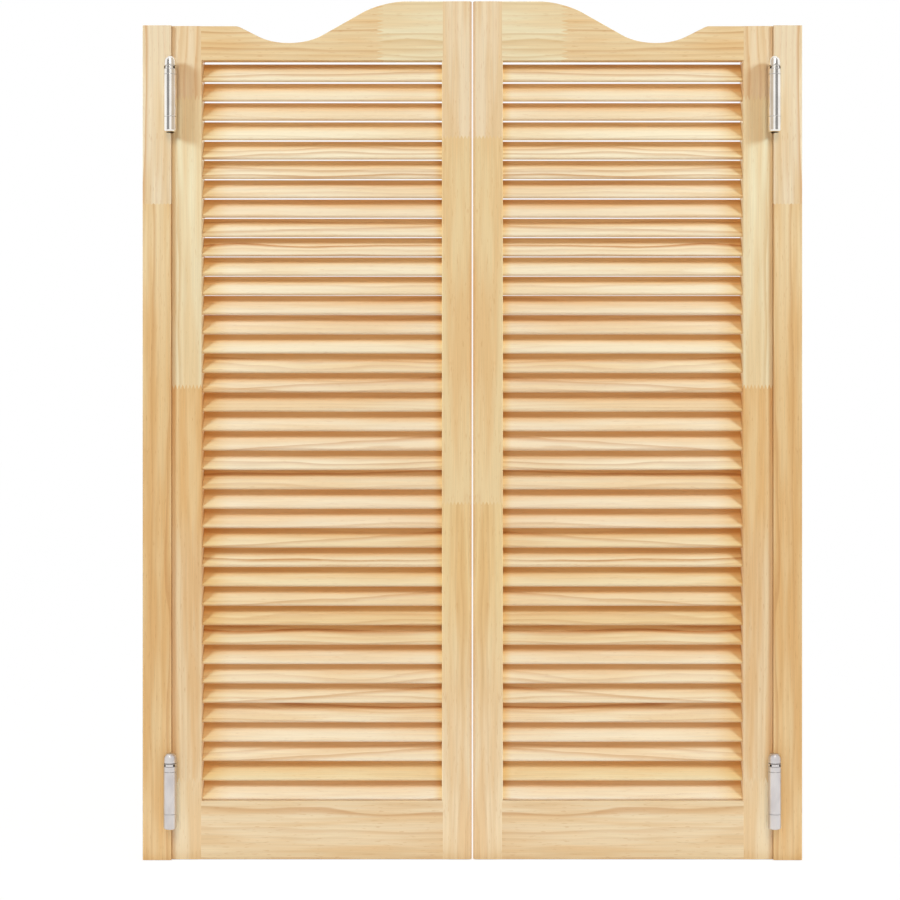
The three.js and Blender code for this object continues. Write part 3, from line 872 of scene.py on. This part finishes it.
def use(tree, group, **values):
    node = tree.nodes.new("ShaderNodeGroup")
    node.node_tree = group
    for label, value in values.items():
        put(tree, node.inputs[label.replace("_", " ")], value)
    return node.outputs


print("sockets of a group can be:", "Float, Vector, Color")

# %% [markdown]
# Long boards are glued up from short lengths with finger joints. On the face a joint is a row of small
# teeth where one tone meets another. The group compares a point's place along the board with the
# joint's place, after a zigzag across the board has been added.

# %% Group: finger joint
TOOTH_PITCH = 5 * MM

finger_joint, given, result = new_group(
    "finger_joint",
    [("Along", "Float"), ("Across", "Float"), ("Place", "Float"), ("Tooth", "Float")],
    [("Beyond", "Float")])
tree = finger_joint
saw = calc(tree, "PINGPONG", given["Across"], TOOTH_PITCH / 2)
saw = calc(tree, "MULTIPLY_ADD", saw, 2 / TOOTH_PITCH, -0.5)
edge = calc(tree, "MULTIPLY_ADD", saw, given["Tooth"], given["Along"])
put(tree, result["Beyond"], calc(tree, "GREATER_THAN", edge, given["Place"]))
print("group:", finger_joint.name)

# %% [markdown]
# Pine shows its growth rings as lines along the board. The group keeps that cause: it works out how far
# a point lies from the heart of the log. The heart wanders along the board, which bends the lines into
# flames and arches. The board number moves the whole pattern, so one group serves every board.

# %% Group: pine grain, the heart of the log
HEART_SPREAD = 0.035
HEART_NEAR = 0.02
HEART_FAR = 0.055
HEART_TURN = 7.13
HEART_STEP = 0.618
SLOPE_TURN = 2.39
BOARD_STEP = (0.731, 0.113, 0.237)
SWAY_NOISE = (2.4, 7, 7)

pine_grain, given, result = new_group(
    "pine_grain",
    [("Board", "Vector"), ("Number", "Float"), ("Ring", "Float"), ("Sway", "Float"), ("Slope", "Float"),
     ("Lines", "Float"), ("Flecks", "Float"), ("Drift", "Float"),
     ("Pale", "Color"), ("Warm", "Color"), ("Late", "Color")],
    [("Color", "Color"), ("Late Wood", "Float"), ("Fibre", "Float")])
tree = pine_grain
number = given["Number"]
steps = [calc(tree, "MULTIPLY", number, step) for step in BOARD_STEP]
offset = add(tree, "ShaderNodeCombineXYZ", *steps).outputs[0]
place = vector(tree, "ADD", given["Board"], offset)
along, across, depth = add(tree, "ShaderNodeSeparateXYZ", given["Board"]).outputs
sway = vector(tree, "SUBTRACT", noise(tree, place, SWAY_NOISE).outputs["Color"], (0.5, 0.5, 0.5))
sway = add(tree, "ShaderNodeVectorMath", sway, operation="SCALE")
put(tree, sway.inputs["Scale"], given["Sway"])
_, sway_across, sway_depth = add(tree, "ShaderNodeSeparateXYZ", sway.outputs[0]).outputs
turn = calc(tree, "SINE", calc(tree, "MULTIPLY", number, SLOPE_TURN))
climb = calc(tree, "MULTIPLY", calc(tree, "MULTIPLY", along, given["Slope"]), turn)
heart_turn = calc(tree, "SINE", calc(tree, "MULTIPLY", number, HEART_TURN))
heart_across = calc(tree, "MULTIPLY", heart_turn, HEART_SPREAD)
heart_share = calc(tree, "FRACT", calc(tree, "MULTIPLY", number, HEART_STEP))
heart_depth = calc(tree, "MULTIPLY_ADD", heart_share, HEART_FAR - HEART_NEAR, HEART_NEAR)
u = calc(tree, "ADD", across, calc(tree, "SUBTRACT", sway_across, heart_across))
v = calc(tree, "ADD", calc(tree, "ADD", depth, sway_depth), calc(tree, "ADD", heart_depth, climb))
reach = calc(tree, "SQRT", calc(tree, "ADD", calc(tree, "MULTIPLY", u, u), calc(tree, "MULTIPLY", v, v)))
print("heart between", HEART_NEAR, "and", HEART_FAR, "m behind the face")

# %% [markdown]
# Each year ends in a darker band of late wood, soft where it begins and sharp where the winter cuts it off.
# A finer wobble makes the years uneven, some years are strong and some hardly show, and along a board the
# lines come and go.

# %% Group: pine grain, the years
YEAR_NOISE = (4.5, 36, 36)
YEAR_WOBBLE = 2.2
YEAR_STEP = 17.0
WEAKEST_YEAR = 0.1
FADE_NOISE = (1.7, 22, 22)

wobble = noise(tree, place, YEAR_NOISE).outputs[0]
years = calc(tree, "MULTIPLY_ADD", wobble, YEAR_WOBBLE, calc(tree, "DIVIDE", reach, given["Ring"]))
phase = calc(tree, "FRACT", years)
late = calc(tree, "MULTIPLY", remap(tree, phase, 0.2, 0.85), remap(tree, phase, 0.86, 1.0, 1.0, 0.0))
year = calc(tree, "MULTIPLY_ADD", number, YEAR_STEP, calc(tree, "FLOOR", years))
strength = add(tree, "ShaderNodeTexWhiteNoise", None, year, noise_dimensions="1D").outputs[0]
strength = calc(tree, "POWER", strength, 2.0)
strength = calc(tree, "MULTIPLY_ADD", strength, 1 - WEAKEST_YEAR, WEAKEST_YEAR)
late = calc(tree, "MULTIPLY", late, strength)
fade = remap(tree, noise(tree, place, FADE_NOISE, 1.0).outputs[0], 0.3, 0.65, 0.3, 1.0)
late = calc(tree, "MULTIPLY", late, fade)
print("the weakest year shows at", WEAKEST_YEAR, "of the strongest")

# %% [markdown]
# Fine fibres, small resin flecks and a slow drift between a pale and a warm tone are laid over the years.
# The group puts out the colour, and also the late wood and the fibre, which the finish needs for its sheen
# and its relief.

# %% Group: pine grain, tone and fibre
DRIFT_NOISE = (4.5, 55, 55)
FIBRE_NOISE = (14, 1100, 1100)
FLECK_NOISE = (70, 560, 560)
FIBRE_SHADES = (0.94, 1.04)

drift = remap(tree, noise(tree, place, DRIFT_NOISE).outputs[0], 0.36, 0.64)
fibre = noise(tree, place, FIBRE_NOISE, 3.0).outputs[0]
fleck = remap(tree, noise(tree, place, FLECK_NOISE, 1.0).outputs[0], 0.64, 0.74)
colour = blend(tree, calc(tree, "MULTIPLY", drift, given["Drift"]), given["Pale"], given["Warm"])
colour = blend(tree, calc(tree, "MULTIPLY", late, given["Lines"]), colour, given["Late"])
colour = blend(tree, calc(tree, "MULTIPLY", fleck, given["Flecks"]), colour, given["Late"])
shade = remap(tree, fibre, 0.25, 0.75, *FIBRE_SHADES)
shade = add(tree, "ShaderNodeCombineColor", shade, shade, shade).outputs[0]
put(tree, result["Color"], blend(tree, 1.0, colour, shade, "MULTIPLY"))
put(tree, result["Late Wood"], late)
put(tree, result["Fibre"], fibre)
print("group:", pine_grain.name, len(tree.nodes), "nodes")

# %% [markdown]
# A pine material turns object coordinates into a board's own: along, across and depth. The distance from
# the centre plane replaces x, so both doors show mirrored grain, as two leaves cut from one board do.
# Sanded pine under a thin clear sealer is matt, and its late wood is a little smoother and stands a hair
# proud, which goes to roughness and bump.

# %% Pine finish: coordinates and surface
GRAIN_BUMP = 0.05 * MM
BUMP_STRENGTH = 0.6
PINE_ROUGH = 0.6
LATE_SMOOTHER = 0.12
FIBRE_ROUGHER = 0.08
PINE_GLOSS = 0.35


def new_material(name):
    material = bpy.data.materials.new(name)
    material.use_nodes = True
    return material, material.node_tree, material.node_tree.nodes["Principled BSDF"].inputs


def board_axes(tree, upright):
    """Places along, across and through a board, mirrored about the centre plane."""
    x, y, z = add(tree, "ShaderNodeSeparateXYZ", add(tree, "ShaderNodeTexCoord").outputs["Object"]).outputs
    x = calc(tree, "ABSOLUTE", x)
    along, across = (z, x) if upright else (x, z)
    return along, across, add(tree, "ShaderNodeCombineXYZ", along, across, y).outputs[0]


def surface_pine(tree, shader, colour, grain):
    put(tree, shader["Base Color"], colour)
    rough = calc(tree, "MULTIPLY_ADD", grain["Late Wood"], -LATE_SMOOTHER, PINE_ROUGH)
    put(tree, shader["Roughness"], calc(tree, "MULTIPLY_ADD", grain["Fibre"], FIBRE_ROUGHER, rough))
    bump = add(tree, "ShaderNodeBump", BUMP_STRENGTH, GRAIN_BUMP)
    put(tree, bump.inputs["Height"], calc(tree, "MULTIPLY_ADD", grain["Fibre"], 0.5, grain["Late Wood"]))
    put(tree, shader["Normal"], bump.outputs[0])
    shader["Specular IOR Level"].default_value = PINE_GLOSS


print("pine roughness:", round(PINE_ROUGH - LATE_SMOOTHER, 2), "to", round(PINE_ROUGH + FIBRE_ROUGHER, 2))

# %% [markdown]
# A board is made of glued lengths. At each finger joint the board number jumps, which gives the next
# length grain of its own, and the tone changes. A joint longer than any tooth stands for a slow fade of
# tone within one length, where the grain runs on.

# %% Pine finish: a board of glued lengths
JOINT_JUMP = 3.7
LONGEST_TOOTH = 20 * MM


def pine(name, upright, tones, joints=(), board=0.0, ring=8 * MM, sway=30 * MM, slope=0.03,
         lines=0.8, flecks=0.3):
    """A board of glued lengths; each two tones meet at a joint (place, length of tooth)."""
    material, tree, shader = new_material(name)
    along, across, coords = board_axes(tree, upright)
    number = board
    colours = tones[0]
    for (spot, tooth), tone in zip(joints, tones[1:]):
        if tooth > LONGEST_TOOTH:
            beyond = remap(tree, along, spot, spot + tooth)
        else:
            beyond = use(tree, finger_joint, Along=along, Across=across, Place=spot, Tooth=tooth)["Beyond"]
            number = calc(tree, "MULTIPLY_ADD", beyond, JOINT_JUMP, number)
        colours = [blend(tree, beyond, near, far) for near, far in zip(colours, tone)]
    pale, warm, late = colours
    grain = use(tree, pine_grain, Board=coords, Number=number, Ring=ring, Sway=sway, Slope=slope,
                Lines=lines, Flecks=flecks, Drift=1.0, Pale=pale, Warm=warm, Late=late)
    surface_pine(tree, shader, grain["Color"], grain)
    return material


print("groups in a board:", finger_joint.name, "and", pine_grain.name)

# %% [markdown]
# Each kind of board has its own tones, taken from the picture: peach, straw and orange lengths of
# pine glued end to end. A tone is a pale colour, a warm one and the colour of the late wood. Some lengths
# change slowly along the grain, so there two tones meet in a long fade instead of a joint.

# %% Tones of the boards
PEACH = (linear(238, 216, 182), linear(231, 200, 156), linear(206, 150, 94))
STRAW = (linear(242, 227, 190), linear(237, 212, 168), linear(216, 178, 124))
HONEY = (linear(238, 211, 166), linear(230, 191, 137), linear(198, 138, 78))
MIXED = (linear(234, 207, 159), linear(229, 192, 139), linear(200, 142, 82))
BLUSH = (linear(234, 208, 167), linear(227, 192, 144), linear(196, 140, 84))
ORANGE = (linear(231, 196, 144), linear(223, 177, 118), linear(188, 124, 66))
ROSE = (linear(231, 202, 159), linear(223, 182, 130), linear(188, 127, 74))
AMBER = (linear(234, 204, 151), linear(227, 188, 130), linear(196, 137, 75))
HAY = (linear(235, 216, 177), linear(231, 203, 157), linear(210, 170, 116))

materials = {
    "post_board": pine(
        "jamb_pine", True, (ORANGE, HONEY, PEACH), ((0.64, 270 * MM), (0.916, 2 * MM)), 3.0, lines=0.75),
    "hinge_stile_board": pine(
        "hinge_stile_pine", True, (BLUSH, ROSE, ORANGE, HAY, STRAW, PEACH),
        ((0.111, 8 * MM), (0.40, 110 * MM), (0.661, 7 * MM), (0.80, 150 * MM), (1.065, 8 * MM)), 8.0,
        lines=0.6),
    "meeting_stile_board": pine(
        "meeting_stile_pine", True, (BLUSH, AMBER, MIXED, PEACH),
        ((0.15, 270 * MM), (0.498, 5 * MM), (1.010, 5 * MM)), 21.0, lines=0.5, flecks=0.25),
    "top_rail_board": pine("top_rail_pine", False, (STRAW, HONEY), ((0.129, 11 * MM),), 31.0, lines=0.7),
    "bottom_rail_board": pine("bottom_rail_pine", False, (BLUSH,), board=44.0, ring=10 * MM, sway=40 * MM),
}
print("pine materials:", ", ".join(materials))

# %% [markdown]
# The slats are cut from paler wood, and each one has its own tone and figure. Attributes of the slat carry
# its number, its tone and how high up its slope a point lies. The number moves the grain, and the tone
# picks a colour between straw, peach and honey.

# %% Slat finish: tone and grain
SLAT_PALES = (linear(248, 233, 202), linear(244, 224, 193), linear(238, 213, 164))
SLAT_WARMS = (linear(244, 222, 184), linear(239, 209, 168), linear(231, 193, 136))
SLAT_LATE = linear(192, 128, 66)
FIGURE_STEP = 0.755

slat_pine, tree, shader = new_material("slat_pine")
along, across, coords = board_axes(tree, False)
number, tone, rise = [add(tree, "ShaderNodeAttribute", attribute_name=label).outputs["Fac"]
                      for label in ("board", "tone", "rise")]
toward_peach = remap(tree, tone, 0.0, 0.5)
toward_honey = remap(tree, tone, 0.5, 1.0)
pale, warm = [blend(tree, toward_honey, blend(tree, toward_peach, straw, peach), honey)
              for straw, peach, honey in (SLAT_PALES, SLAT_WARMS)]
figure = calc(tree, "FRACT", calc(tree, "MULTIPLY", number, FIGURE_STEP))
grain = use(tree, pine_grain, Board=coords, Number=number, Ring=8 * MM, Sway=45 * MM, Slope=0.08,
            Lines=calc(tree, "MULTIPLY_ADD", figure, 0.8, 0.2), Flecks=0.15, Drift=0.8,
            Pale=pale, Warm=warm, Late=SLAT_LATE)
print("slat grain:", len(tree.nodes), "nodes")

# %% [markdown]
# Some slats are cut a little across the grain, and there one strong year runs over the slat as a slanting
# streak, soft on one side and sharp on the other. The streak is a sloping line in the slat's own place,
# along it and up its slope, bent by a slow noise. The board number chooses which slats have one.

# %% Slat finish: streaks
STREAK_SHARE = 0.25
STREAK_STEP = 0.37
STREAK_DEPTH = 0.4
STREAK_SLANT = 0.8
STREAK_BEND = 0.25
BEND_NOISE = (9, 40, 40)
STREAK_SOFT = 0.2
STREAK_SHARP = 0.035

opening_middle = (opening_meeting_edge + opening_hinge_edge) / 2
opening_width = opening_hinge_edge - opening_meeting_edge
draw_lot = calc(tree, "FRACT", calc(tree, "MULTIPLY", number, STREAK_STEP))
chosen = calc(tree, "LESS_THAN", draw_lot, STREAK_SHARE)
turn = calc(tree, "SINE", calc(tree, "MULTIPLY", number, SLOPE_TURN))
slant = calc(tree, "MULTIPLY", turn, STREAK_SLANT)
off_middle = calc(tree, "DIVIDE", calc(tree, "SUBTRACT", along, opening_middle), opening_width)
bend = calc(tree, "MULTIPLY", noise(tree, coords, BEND_NOISE).outputs[0], STREAK_BEND)
height = calc(tree, "MULTIPLY_ADD", off_middle, slant, calc(tree, "SUBTRACT", rise, bend))
height = calc(tree, "SUBTRACT", height, calc(tree, "MULTIPLY_ADD", figure, 0.3, 0.1))
soft_side = remap(tree, height, -STREAK_SOFT, 0.0)
sharp_side = remap(tree, height, 0.0, STREAK_SHARP, 1.0, 0.0)
streak = calc(tree, "MULTIPLY", soft_side, sharp_side)
streak = calc(tree, "MULTIPLY", streak, calc(tree, "MULTIPLY", chosen, STREAK_DEPTH))
colour = blend(tree, streak, grain["Color"], SLAT_LATE)
print("streaks on", sum(n * STREAK_STEP % 1 < STREAK_SHARE for n in range(1, SLAT_COUNT + 1)), "levels")

# %% [markdown]
# This is painted shade. Where a slat runs back under its neighbour, and at its two ends by the stiles,
# the wood is tinted deeper and more orange, as the shade there looks. Two tints, multiplied over the grain,
# do that.

# %% Slat finish: painted shade under the neighbour and at the ends
UNDER_NEIGHBOUR_SHADE = linear(249, 228, 204)
SHADE_RISE_SPAN = (0.4, 0.74)
END_SHADE_TINT = linear(247, 231, 200)
END_SHADE_RUNS = (14 * MM, 45 * MM)

# Painted shade: masks for the upper part of each slat, deep under its neighbour, and for both ends by the
# stiles.
under_neighbour_shade = remap(tree, rise, *SHADE_RISE_SPAN)
meeting_end_shade = remap(tree, along, opening_meeting_edge, opening_meeting_edge + END_SHADE_RUNS[0], 1.0, 0.0)
hinge_end_shade = remap(tree, along, opening_hinge_edge - END_SHADE_RUNS[1], opening_hinge_edge)
colour = blend(tree, under_neighbour_shade, colour, UNDER_NEIGHBOUR_SHADE, "MULTIPLY")
colour = blend(tree, calc(tree, "MAXIMUM", meeting_end_shade, hinge_end_shade), colour, END_SHADE_TINT, "MULTIPLY")
surface_pine(tree, shader, colour, grain)
materials["slat"] = slat_pine
print("slat finish:", len(tree.nodes), "nodes")

# %% [markdown]
# ## Metal
# The upper hinges are polished and the lower ones have a satin plate. Both are drawn tube, so fine marks
# run up the barrel and the gloss is a little uneven from handling. One group gives both effects. Holes and
# hollows are unpolished and dark. That dark, and the dark on the necks under the caps, is also painted
# shade.

# %% Group: drawn steel
MARK_NOISE = (2600, 2600, 40)
SMUDGE_NOISE = (70, 70, 45)
SMUDGE_SHARE = 0.55

drawn_steel, given, result = new_group(
    "drawn_steel", [("Place", "Vector"), ("Smooth", "Float"), ("Rough", "Float")],
    [("Roughness", "Float"), ("Height", "Float")])
tree = drawn_steel
marks = noise(tree, given["Place"], MARK_NOISE).outputs[0]
smudge = noise(tree, given["Place"], SMUDGE_NOISE, 3.0).outputs[0]
share = calc(tree, "MULTIPLY_ADD", marks, 1 - SMUDGE_SHARE, calc(tree, "MULTIPLY", smudge, SMUDGE_SHARE))
spread = calc(tree, "SUBTRACT", given["Rough"], given["Smooth"])
rough = calc(tree, "MULTIPLY_ADD", remap(tree, share, 0.3, 0.7), spread, given["Smooth"])
put(tree, result["Roughness"], rough)
put(tree, result["Height"], marks)
print("group:", drawn_steel.name)

# %% [markdown]
# A steel is metal all through, with a little haze in its colour. The springs, and the dark finish of holes,
# hollows and necks, use the same function with darker values. That dark finish is unpolished steel, and it
# also paints the shade in those hollows and under the caps.

# %% Steel finishes
MARK_BUMP = 0.01 * MM
HAZE_NOISE = (55, 55, 30)


def steel(name, bright, dull, smooth_end, rough_end):
    material, tree, shader = new_material(name)
    place = add(tree, "ShaderNodeTexCoord").outputs["Object"]
    drawn = use(tree, drawn_steel, Place=place, Smooth=smooth_end, Rough=rough_end)
    put(tree, shader["Roughness"], drawn["Roughness"])
    haze = remap(tree, noise(tree, place, HAZE_NOISE).outputs[0], 0.35, 0.7)
    put(tree, shader["Base Color"], blend(tree, haze, bright, dull))
    bump = add(tree, "ShaderNodeBump", 0.25, MARK_BUMP)
    put(tree, bump.inputs["Height"], drawn["Height"])
    put(tree, shader["Normal"], bump.outputs[0])
    shader["Metallic"].default_value = 1.0
    return material


steels = {
    "polished_steel": steel("polished_steel", linear(250, 247, 242), linear(238, 234, 228), 0.06, 0.16),
    "satin_steel": steel("satin_steel", linear(216, 212, 211), linear(202, 197, 197), 0.3, 0.42),
    "spring_steel": steel("spring_steel", linear(128, 126, 122), linear(96, 94, 90), 0.3, 0.5),
}
hollow_steel = steel("hollow_steel", linear(84, 70, 58), linear(58, 46, 38), 0.4, 0.6)
print("steels:", ", ".join(steels))

# %% [markdown]
# Every piece now gets its finish, rides on its body and stands for the node that it replaces. The springs
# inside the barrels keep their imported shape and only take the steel.

# %% Dress the pieces
for name, (piece, body, slot_name, node) in made.items():
    kind = next((k for k in materials if k in name), None)
    piece.data.materials.append(materials[kind] if kind else steels[slot_name])
    # Pieces with dark faces get the dark second finish, which paints shade in holes, hollows and necks.
    if any(face.material_index for face in piece.data.polygons):
        piece.data.materials.append(hollow_steel)
    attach(piece, body)
    if node:
        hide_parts(node)
for name, node in frame["nodes"].items():
    if name.endswith("_spring"):
        node.data.materials.clear()
        node.data.materials.append(steels["spring_steel"])
print("dressed:", len(made), "pieces")

# %% [markdown]
# ## Floor and light
# The picture is a plain product shot on white. The floor is matt and lit by the fill alone. To the camera
# and to gloss it also glows, just enough that open floor comes out white and the shadow at the foot of
# the doors stays.

# %% Floor
FLOOR_SIZE = 60
FLOOR_MATT = 0.9
FLOOR_DROP = 0.5 * MM
FILL = (0.4, 0.3, 0.215)


def background_seen(tree):
    """One where the camera, or a shine, looks at the background, else zero."""
    path = add(tree, "ShaderNodeLightPath").outputs
    seen = calc(tree, "MAXIMUM", path["Is Camera Ray"], path["Is Glossy Ray"])
    return calc(tree, "MAXIMUM", seen, path["Is Transmission Ray"])


bpy.ops.object.select_all(action="DESELECT")
bpy.ops.mesh.primitive_plane_add(size=FLOOR_SIZE, location=(0, 0, -FLOOR_DROP))
floor = bpy.context.object
floor.name = "floor"
material = bpy.data.materials.new("floor")
material.use_nodes = True
tree = material.node_tree
tree.nodes.remove(tree.nodes["Principled BSDF"])
lacking = [1 - FLOOR_MATT * level for level in FILL]
glow = add(tree, "ShaderNodeEmission", (*lacking, 1), background_seen(tree)).outputs[0]
matt = add(tree, "ShaderNodeBsdfDiffuse", (FLOOR_MATT, FLOOR_MATT, FLOOR_MATT, 1)).outputs[0]
both = add(tree, "ShaderNodeAddShader", matt, glow).outputs[0]
put(tree, tree.nodes["Material Output"].inputs["Surface"], both)
floor.data.materials.append(material)
print("floor glow:", [round(level, 3) for level in lacking])

# %% [markdown]
# The world is the same white to the camera and to gloss, and gives the doors only a low fill from all
# round, so that the hollows between the slats keep their depth.

# %% World
world = bpy.data.worlds.new("studio")
bpy.context.scene.world = world
world.use_nodes = True
tree = world.node_tree
background = tree.nodes["Background"].inputs
put(tree, background["Color"], blend(tree, background_seen(tree), (*FILL, 1), (1, 1, 1, 1)))
print("fill:", FILL)

# %% [markdown]
# A lamp here is a soft rectangle that shines on one collection of pieces, by light linking, and stays out
# of the camera's view. Most lamps also stay out of reflections, so that the polished barrels mirror the
# white studio and not the lamps.

# %% Lamp helper
door_middle = Vector((0, 0, shoulder / 2))


def lamp_at(name, target, way, size, power, colour, lit, mirrored=False):
    lamp_data = bpy.data.lights.new(name, "AREA")
    lamp_data.color = colour
    lamp_data.shape = "RECTANGLE"
    lamp_data.size, lamp_data.size_y = size
    lamp_data.energy = power
    lamp = bpy.data.objects.new(name, lamp_data)
    lamp.location = target + way
    lamp.rotation_euler = way.to_track_quat("Z", "Y").to_euler()
    bpy.context.scene.collection.objects.link(lamp)
    lamp.light_linking.receiver_collection = lit
    lamp.visible_camera = False
    lamp.visible_glossy = mirrored
    return lamp


def on_side(side, way):
    return Vector((side * way.x, way.y, way.z))


def collect(name, test):
    group = bpy.data.collections.new(name)
    for piece, *_ in made.values():
        if test(piece.name):
            group.objects.link(piece)
    return group


print("lamps aim at", [round(c, 3) for c in door_middle])

# %% [markdown]
# Each door has a key lamp of its own, high at its hinge side and rather close to the plane of the door, so
# that shadows run towards the middle on both halves. The key is cool and the fill is warm. Together they
# are near white, and a shadow, which only the fill reaches, turns orange as it does in the picture. The
# lower hinges cast no key shadow there, so they are left out of the casters. A face lamp above the camera
# lights the faces and the gaps between the boards, and a rim lamp at the meeting side picks out the
# inner arrises of the stiles.

# %% Key, face and rim lamps of each half
KEY_WAY = Vector((1.63, -1.0, 0.95))
KEY_DISTANCE = 4.2
KEY_SIZE = (0.9, 0.9)
KEY_POWER = 118
KEY_COLOUR = (0.66, 1.0, 1.28)
FACE_WAY = Vector((0.5, -3.3, 2.6))
FACE_SIZE = (1.0, 1.6)
FACE_POWER = 41.5
FACE_COLOUR = (1.05, 1.0, 0.86)
RIM_WAY = Vector((-3.0, -0.5, 0.3))
RIM_SIZE = (1.0, 1.0)
RIM_POWER = 26
RIM_COLOUR = (0.9, 1.0, 1.1)

for name, side in SIDES.items():
    half = collect(f"{name}_half", lambda label: label.startswith(name))
    casters = collect(f"{name}_casters", lambda label: label.startswith(name) and "_lower_" not in label)
    edges = collect(f"{name}_edges", lambda label: label.startswith(name) and "stile" in label)
    aim = door_middle + Vector((side * hinge_line / 2, 0, 0))
    way = on_side(side, KEY_WAY).normalized() * KEY_DISTANCE
    key = lamp_at(f"{name}_key", aim, way, KEY_SIZE, KEY_POWER, KEY_COLOUR, half)
    key.light_linking.blocker_collection = casters
    way = on_side(side, FACE_WAY)
    lamp_at(f"{name}_face_lamp", aim, way, FACE_SIZE, FACE_POWER, FACE_COLOUR, half, mirrored=True)
    way = on_side(side, RIM_WAY)
    rim = lamp_at(f"{name}_rim_lamp", aim, way, RIM_SIZE, RIM_POWER, RIM_COLOUR, edges)
    rim.light_linking.blocker_collection = edges

# %% [markdown]
# Three more lamps serve both doors. A low one in front reaches under the noses of the slats, as light off a
# pale floor does, a faint one on the floor lifts the feet, and a broad one behind keeps the back from
# going dark.

# %% Low, floor and back lamps
LOW_WAY = Vector((0, -2.2, -0.43))
LOW_SIZE = (2.0, 0.4)
LOW_POWER = 7
LOW_COLOUR = (1.15, 1.0, 0.78)
BOUNCE_PLACE = Vector((0, -0.315, 2 * MM))
BOUNCE_SIZE = (1.2, 0.57)
BOUNCE_POWER = 1.3
BOUNCE_COLOUR = (0.6, 0.9, 1.35)
BACK_WAY = Vector((0, 3.5, 1.0))
BACK_SIZE = (4.5, 1.0)
BACK_POWER = 60
BACK_COLOUR = (0.8, 1.0, 1.15)

doors = collect("doors", lambda label: True)
lamp_at("low_lamp", door_middle, LOW_WAY, LOW_SIZE, LOW_POWER, LOW_COLOUR, doors)
upward = Vector((0, 0, -MM))
lamp_at("bounce_lamp", BOUNCE_PLACE, upward, BOUNCE_SIZE, BOUNCE_POWER, BOUNCE_COLOUR, doors)
lamp_at("back_lamp", door_middle, BACK_WAY, BACK_SIZE, BACK_POWER, BACK_COLOUR, doors, mirrored=True)
print("low, floor and back lamps:", LOW_POWER, BOUNCE_POWER, BACK_POWER, "W")

# %% [markdown]
# Polished metal is only as good as what it mirrors. Two grey cards stand in front of the doors at the
# height of the upper hinges, and each one puts a dark stripe down the barrel next to it. Two more behind
# the doors do the same for the back. A warm card in the centre plane tints the inner side of the front
# barrels, as the wood of a real room would. Only shine can see the cards.

# %% Cards for the polished barrels
CARD_Z = (1.0, 2.0)
BACK_CARD_Z = (0.3, 2.0)
GREY_CARD = (0.3, 0.3, 0.3)
GREY_Y = -0.83
GREY_X = (0.5, 1.5)
WARM_CARD = (0.62, 0.53, 0.43)
WARM_Y = (-0.75, -0.06)


def card(name, colour, low, high):
    """An upright plane from one point to another, seen by shine alone."""
    span = Vector(high) - Vector(low)
    along_y = abs(span.y) > abs(span.x)
    turn = math.pi / 2 if along_y else 0.0
    bpy.ops.object.select_all(action="DESELECT")
    middle = (Vector(low) + Vector(high)) / 2
    bpy.ops.mesh.primitive_plane_add(size=1, location=middle, rotation=(math.pi / 2, 0, turn))
    piece = bpy.context.object
    piece.name = name
    piece.scale = (abs(span.y) if along_y else abs(span.x), span.z, 1)
    material = bpy.data.materials.new(name)
    material.use_nodes = True
    tree = material.node_tree
    tree.nodes.remove(tree.nodes["Principled BSDF"])
    glow = add(tree, "ShaderNodeEmission", (*colour, 1), 1.0).outputs[0]
    put(tree, tree.nodes["Material Output"].inputs["Surface"], glow)
    piece.data.materials.append(material)
    for ray in ("camera", "diffuse", "transmission", "volume_scatter", "shadow"):
        setattr(piece, f"visible_{ray}", False)


for name, side in SIDES.items():
    for place, y, heights in (("front", GREY_Y, CARD_Z), ("back", -GREY_Y, BACK_CARD_Z)):
        low, high = [(side * x, y, z) for x, z in zip(GREY_X, heights)]
        card(f"{name}_{place}_card", GREY_CARD, low, high)
card("warm_card", WARM_CARD, (0, WARM_Y[0], CARD_Z[0]), (0, WARM_Y[1], CARD_Z[1]))
print("cards from", CARD_Z[0], "to", CARD_Z[1], "m")

# %% [markdown]
# The picture is kept plain, with the standard view transform.

# %% Finish
bpy.context.scene.view_settings.view_transform = "Standard"
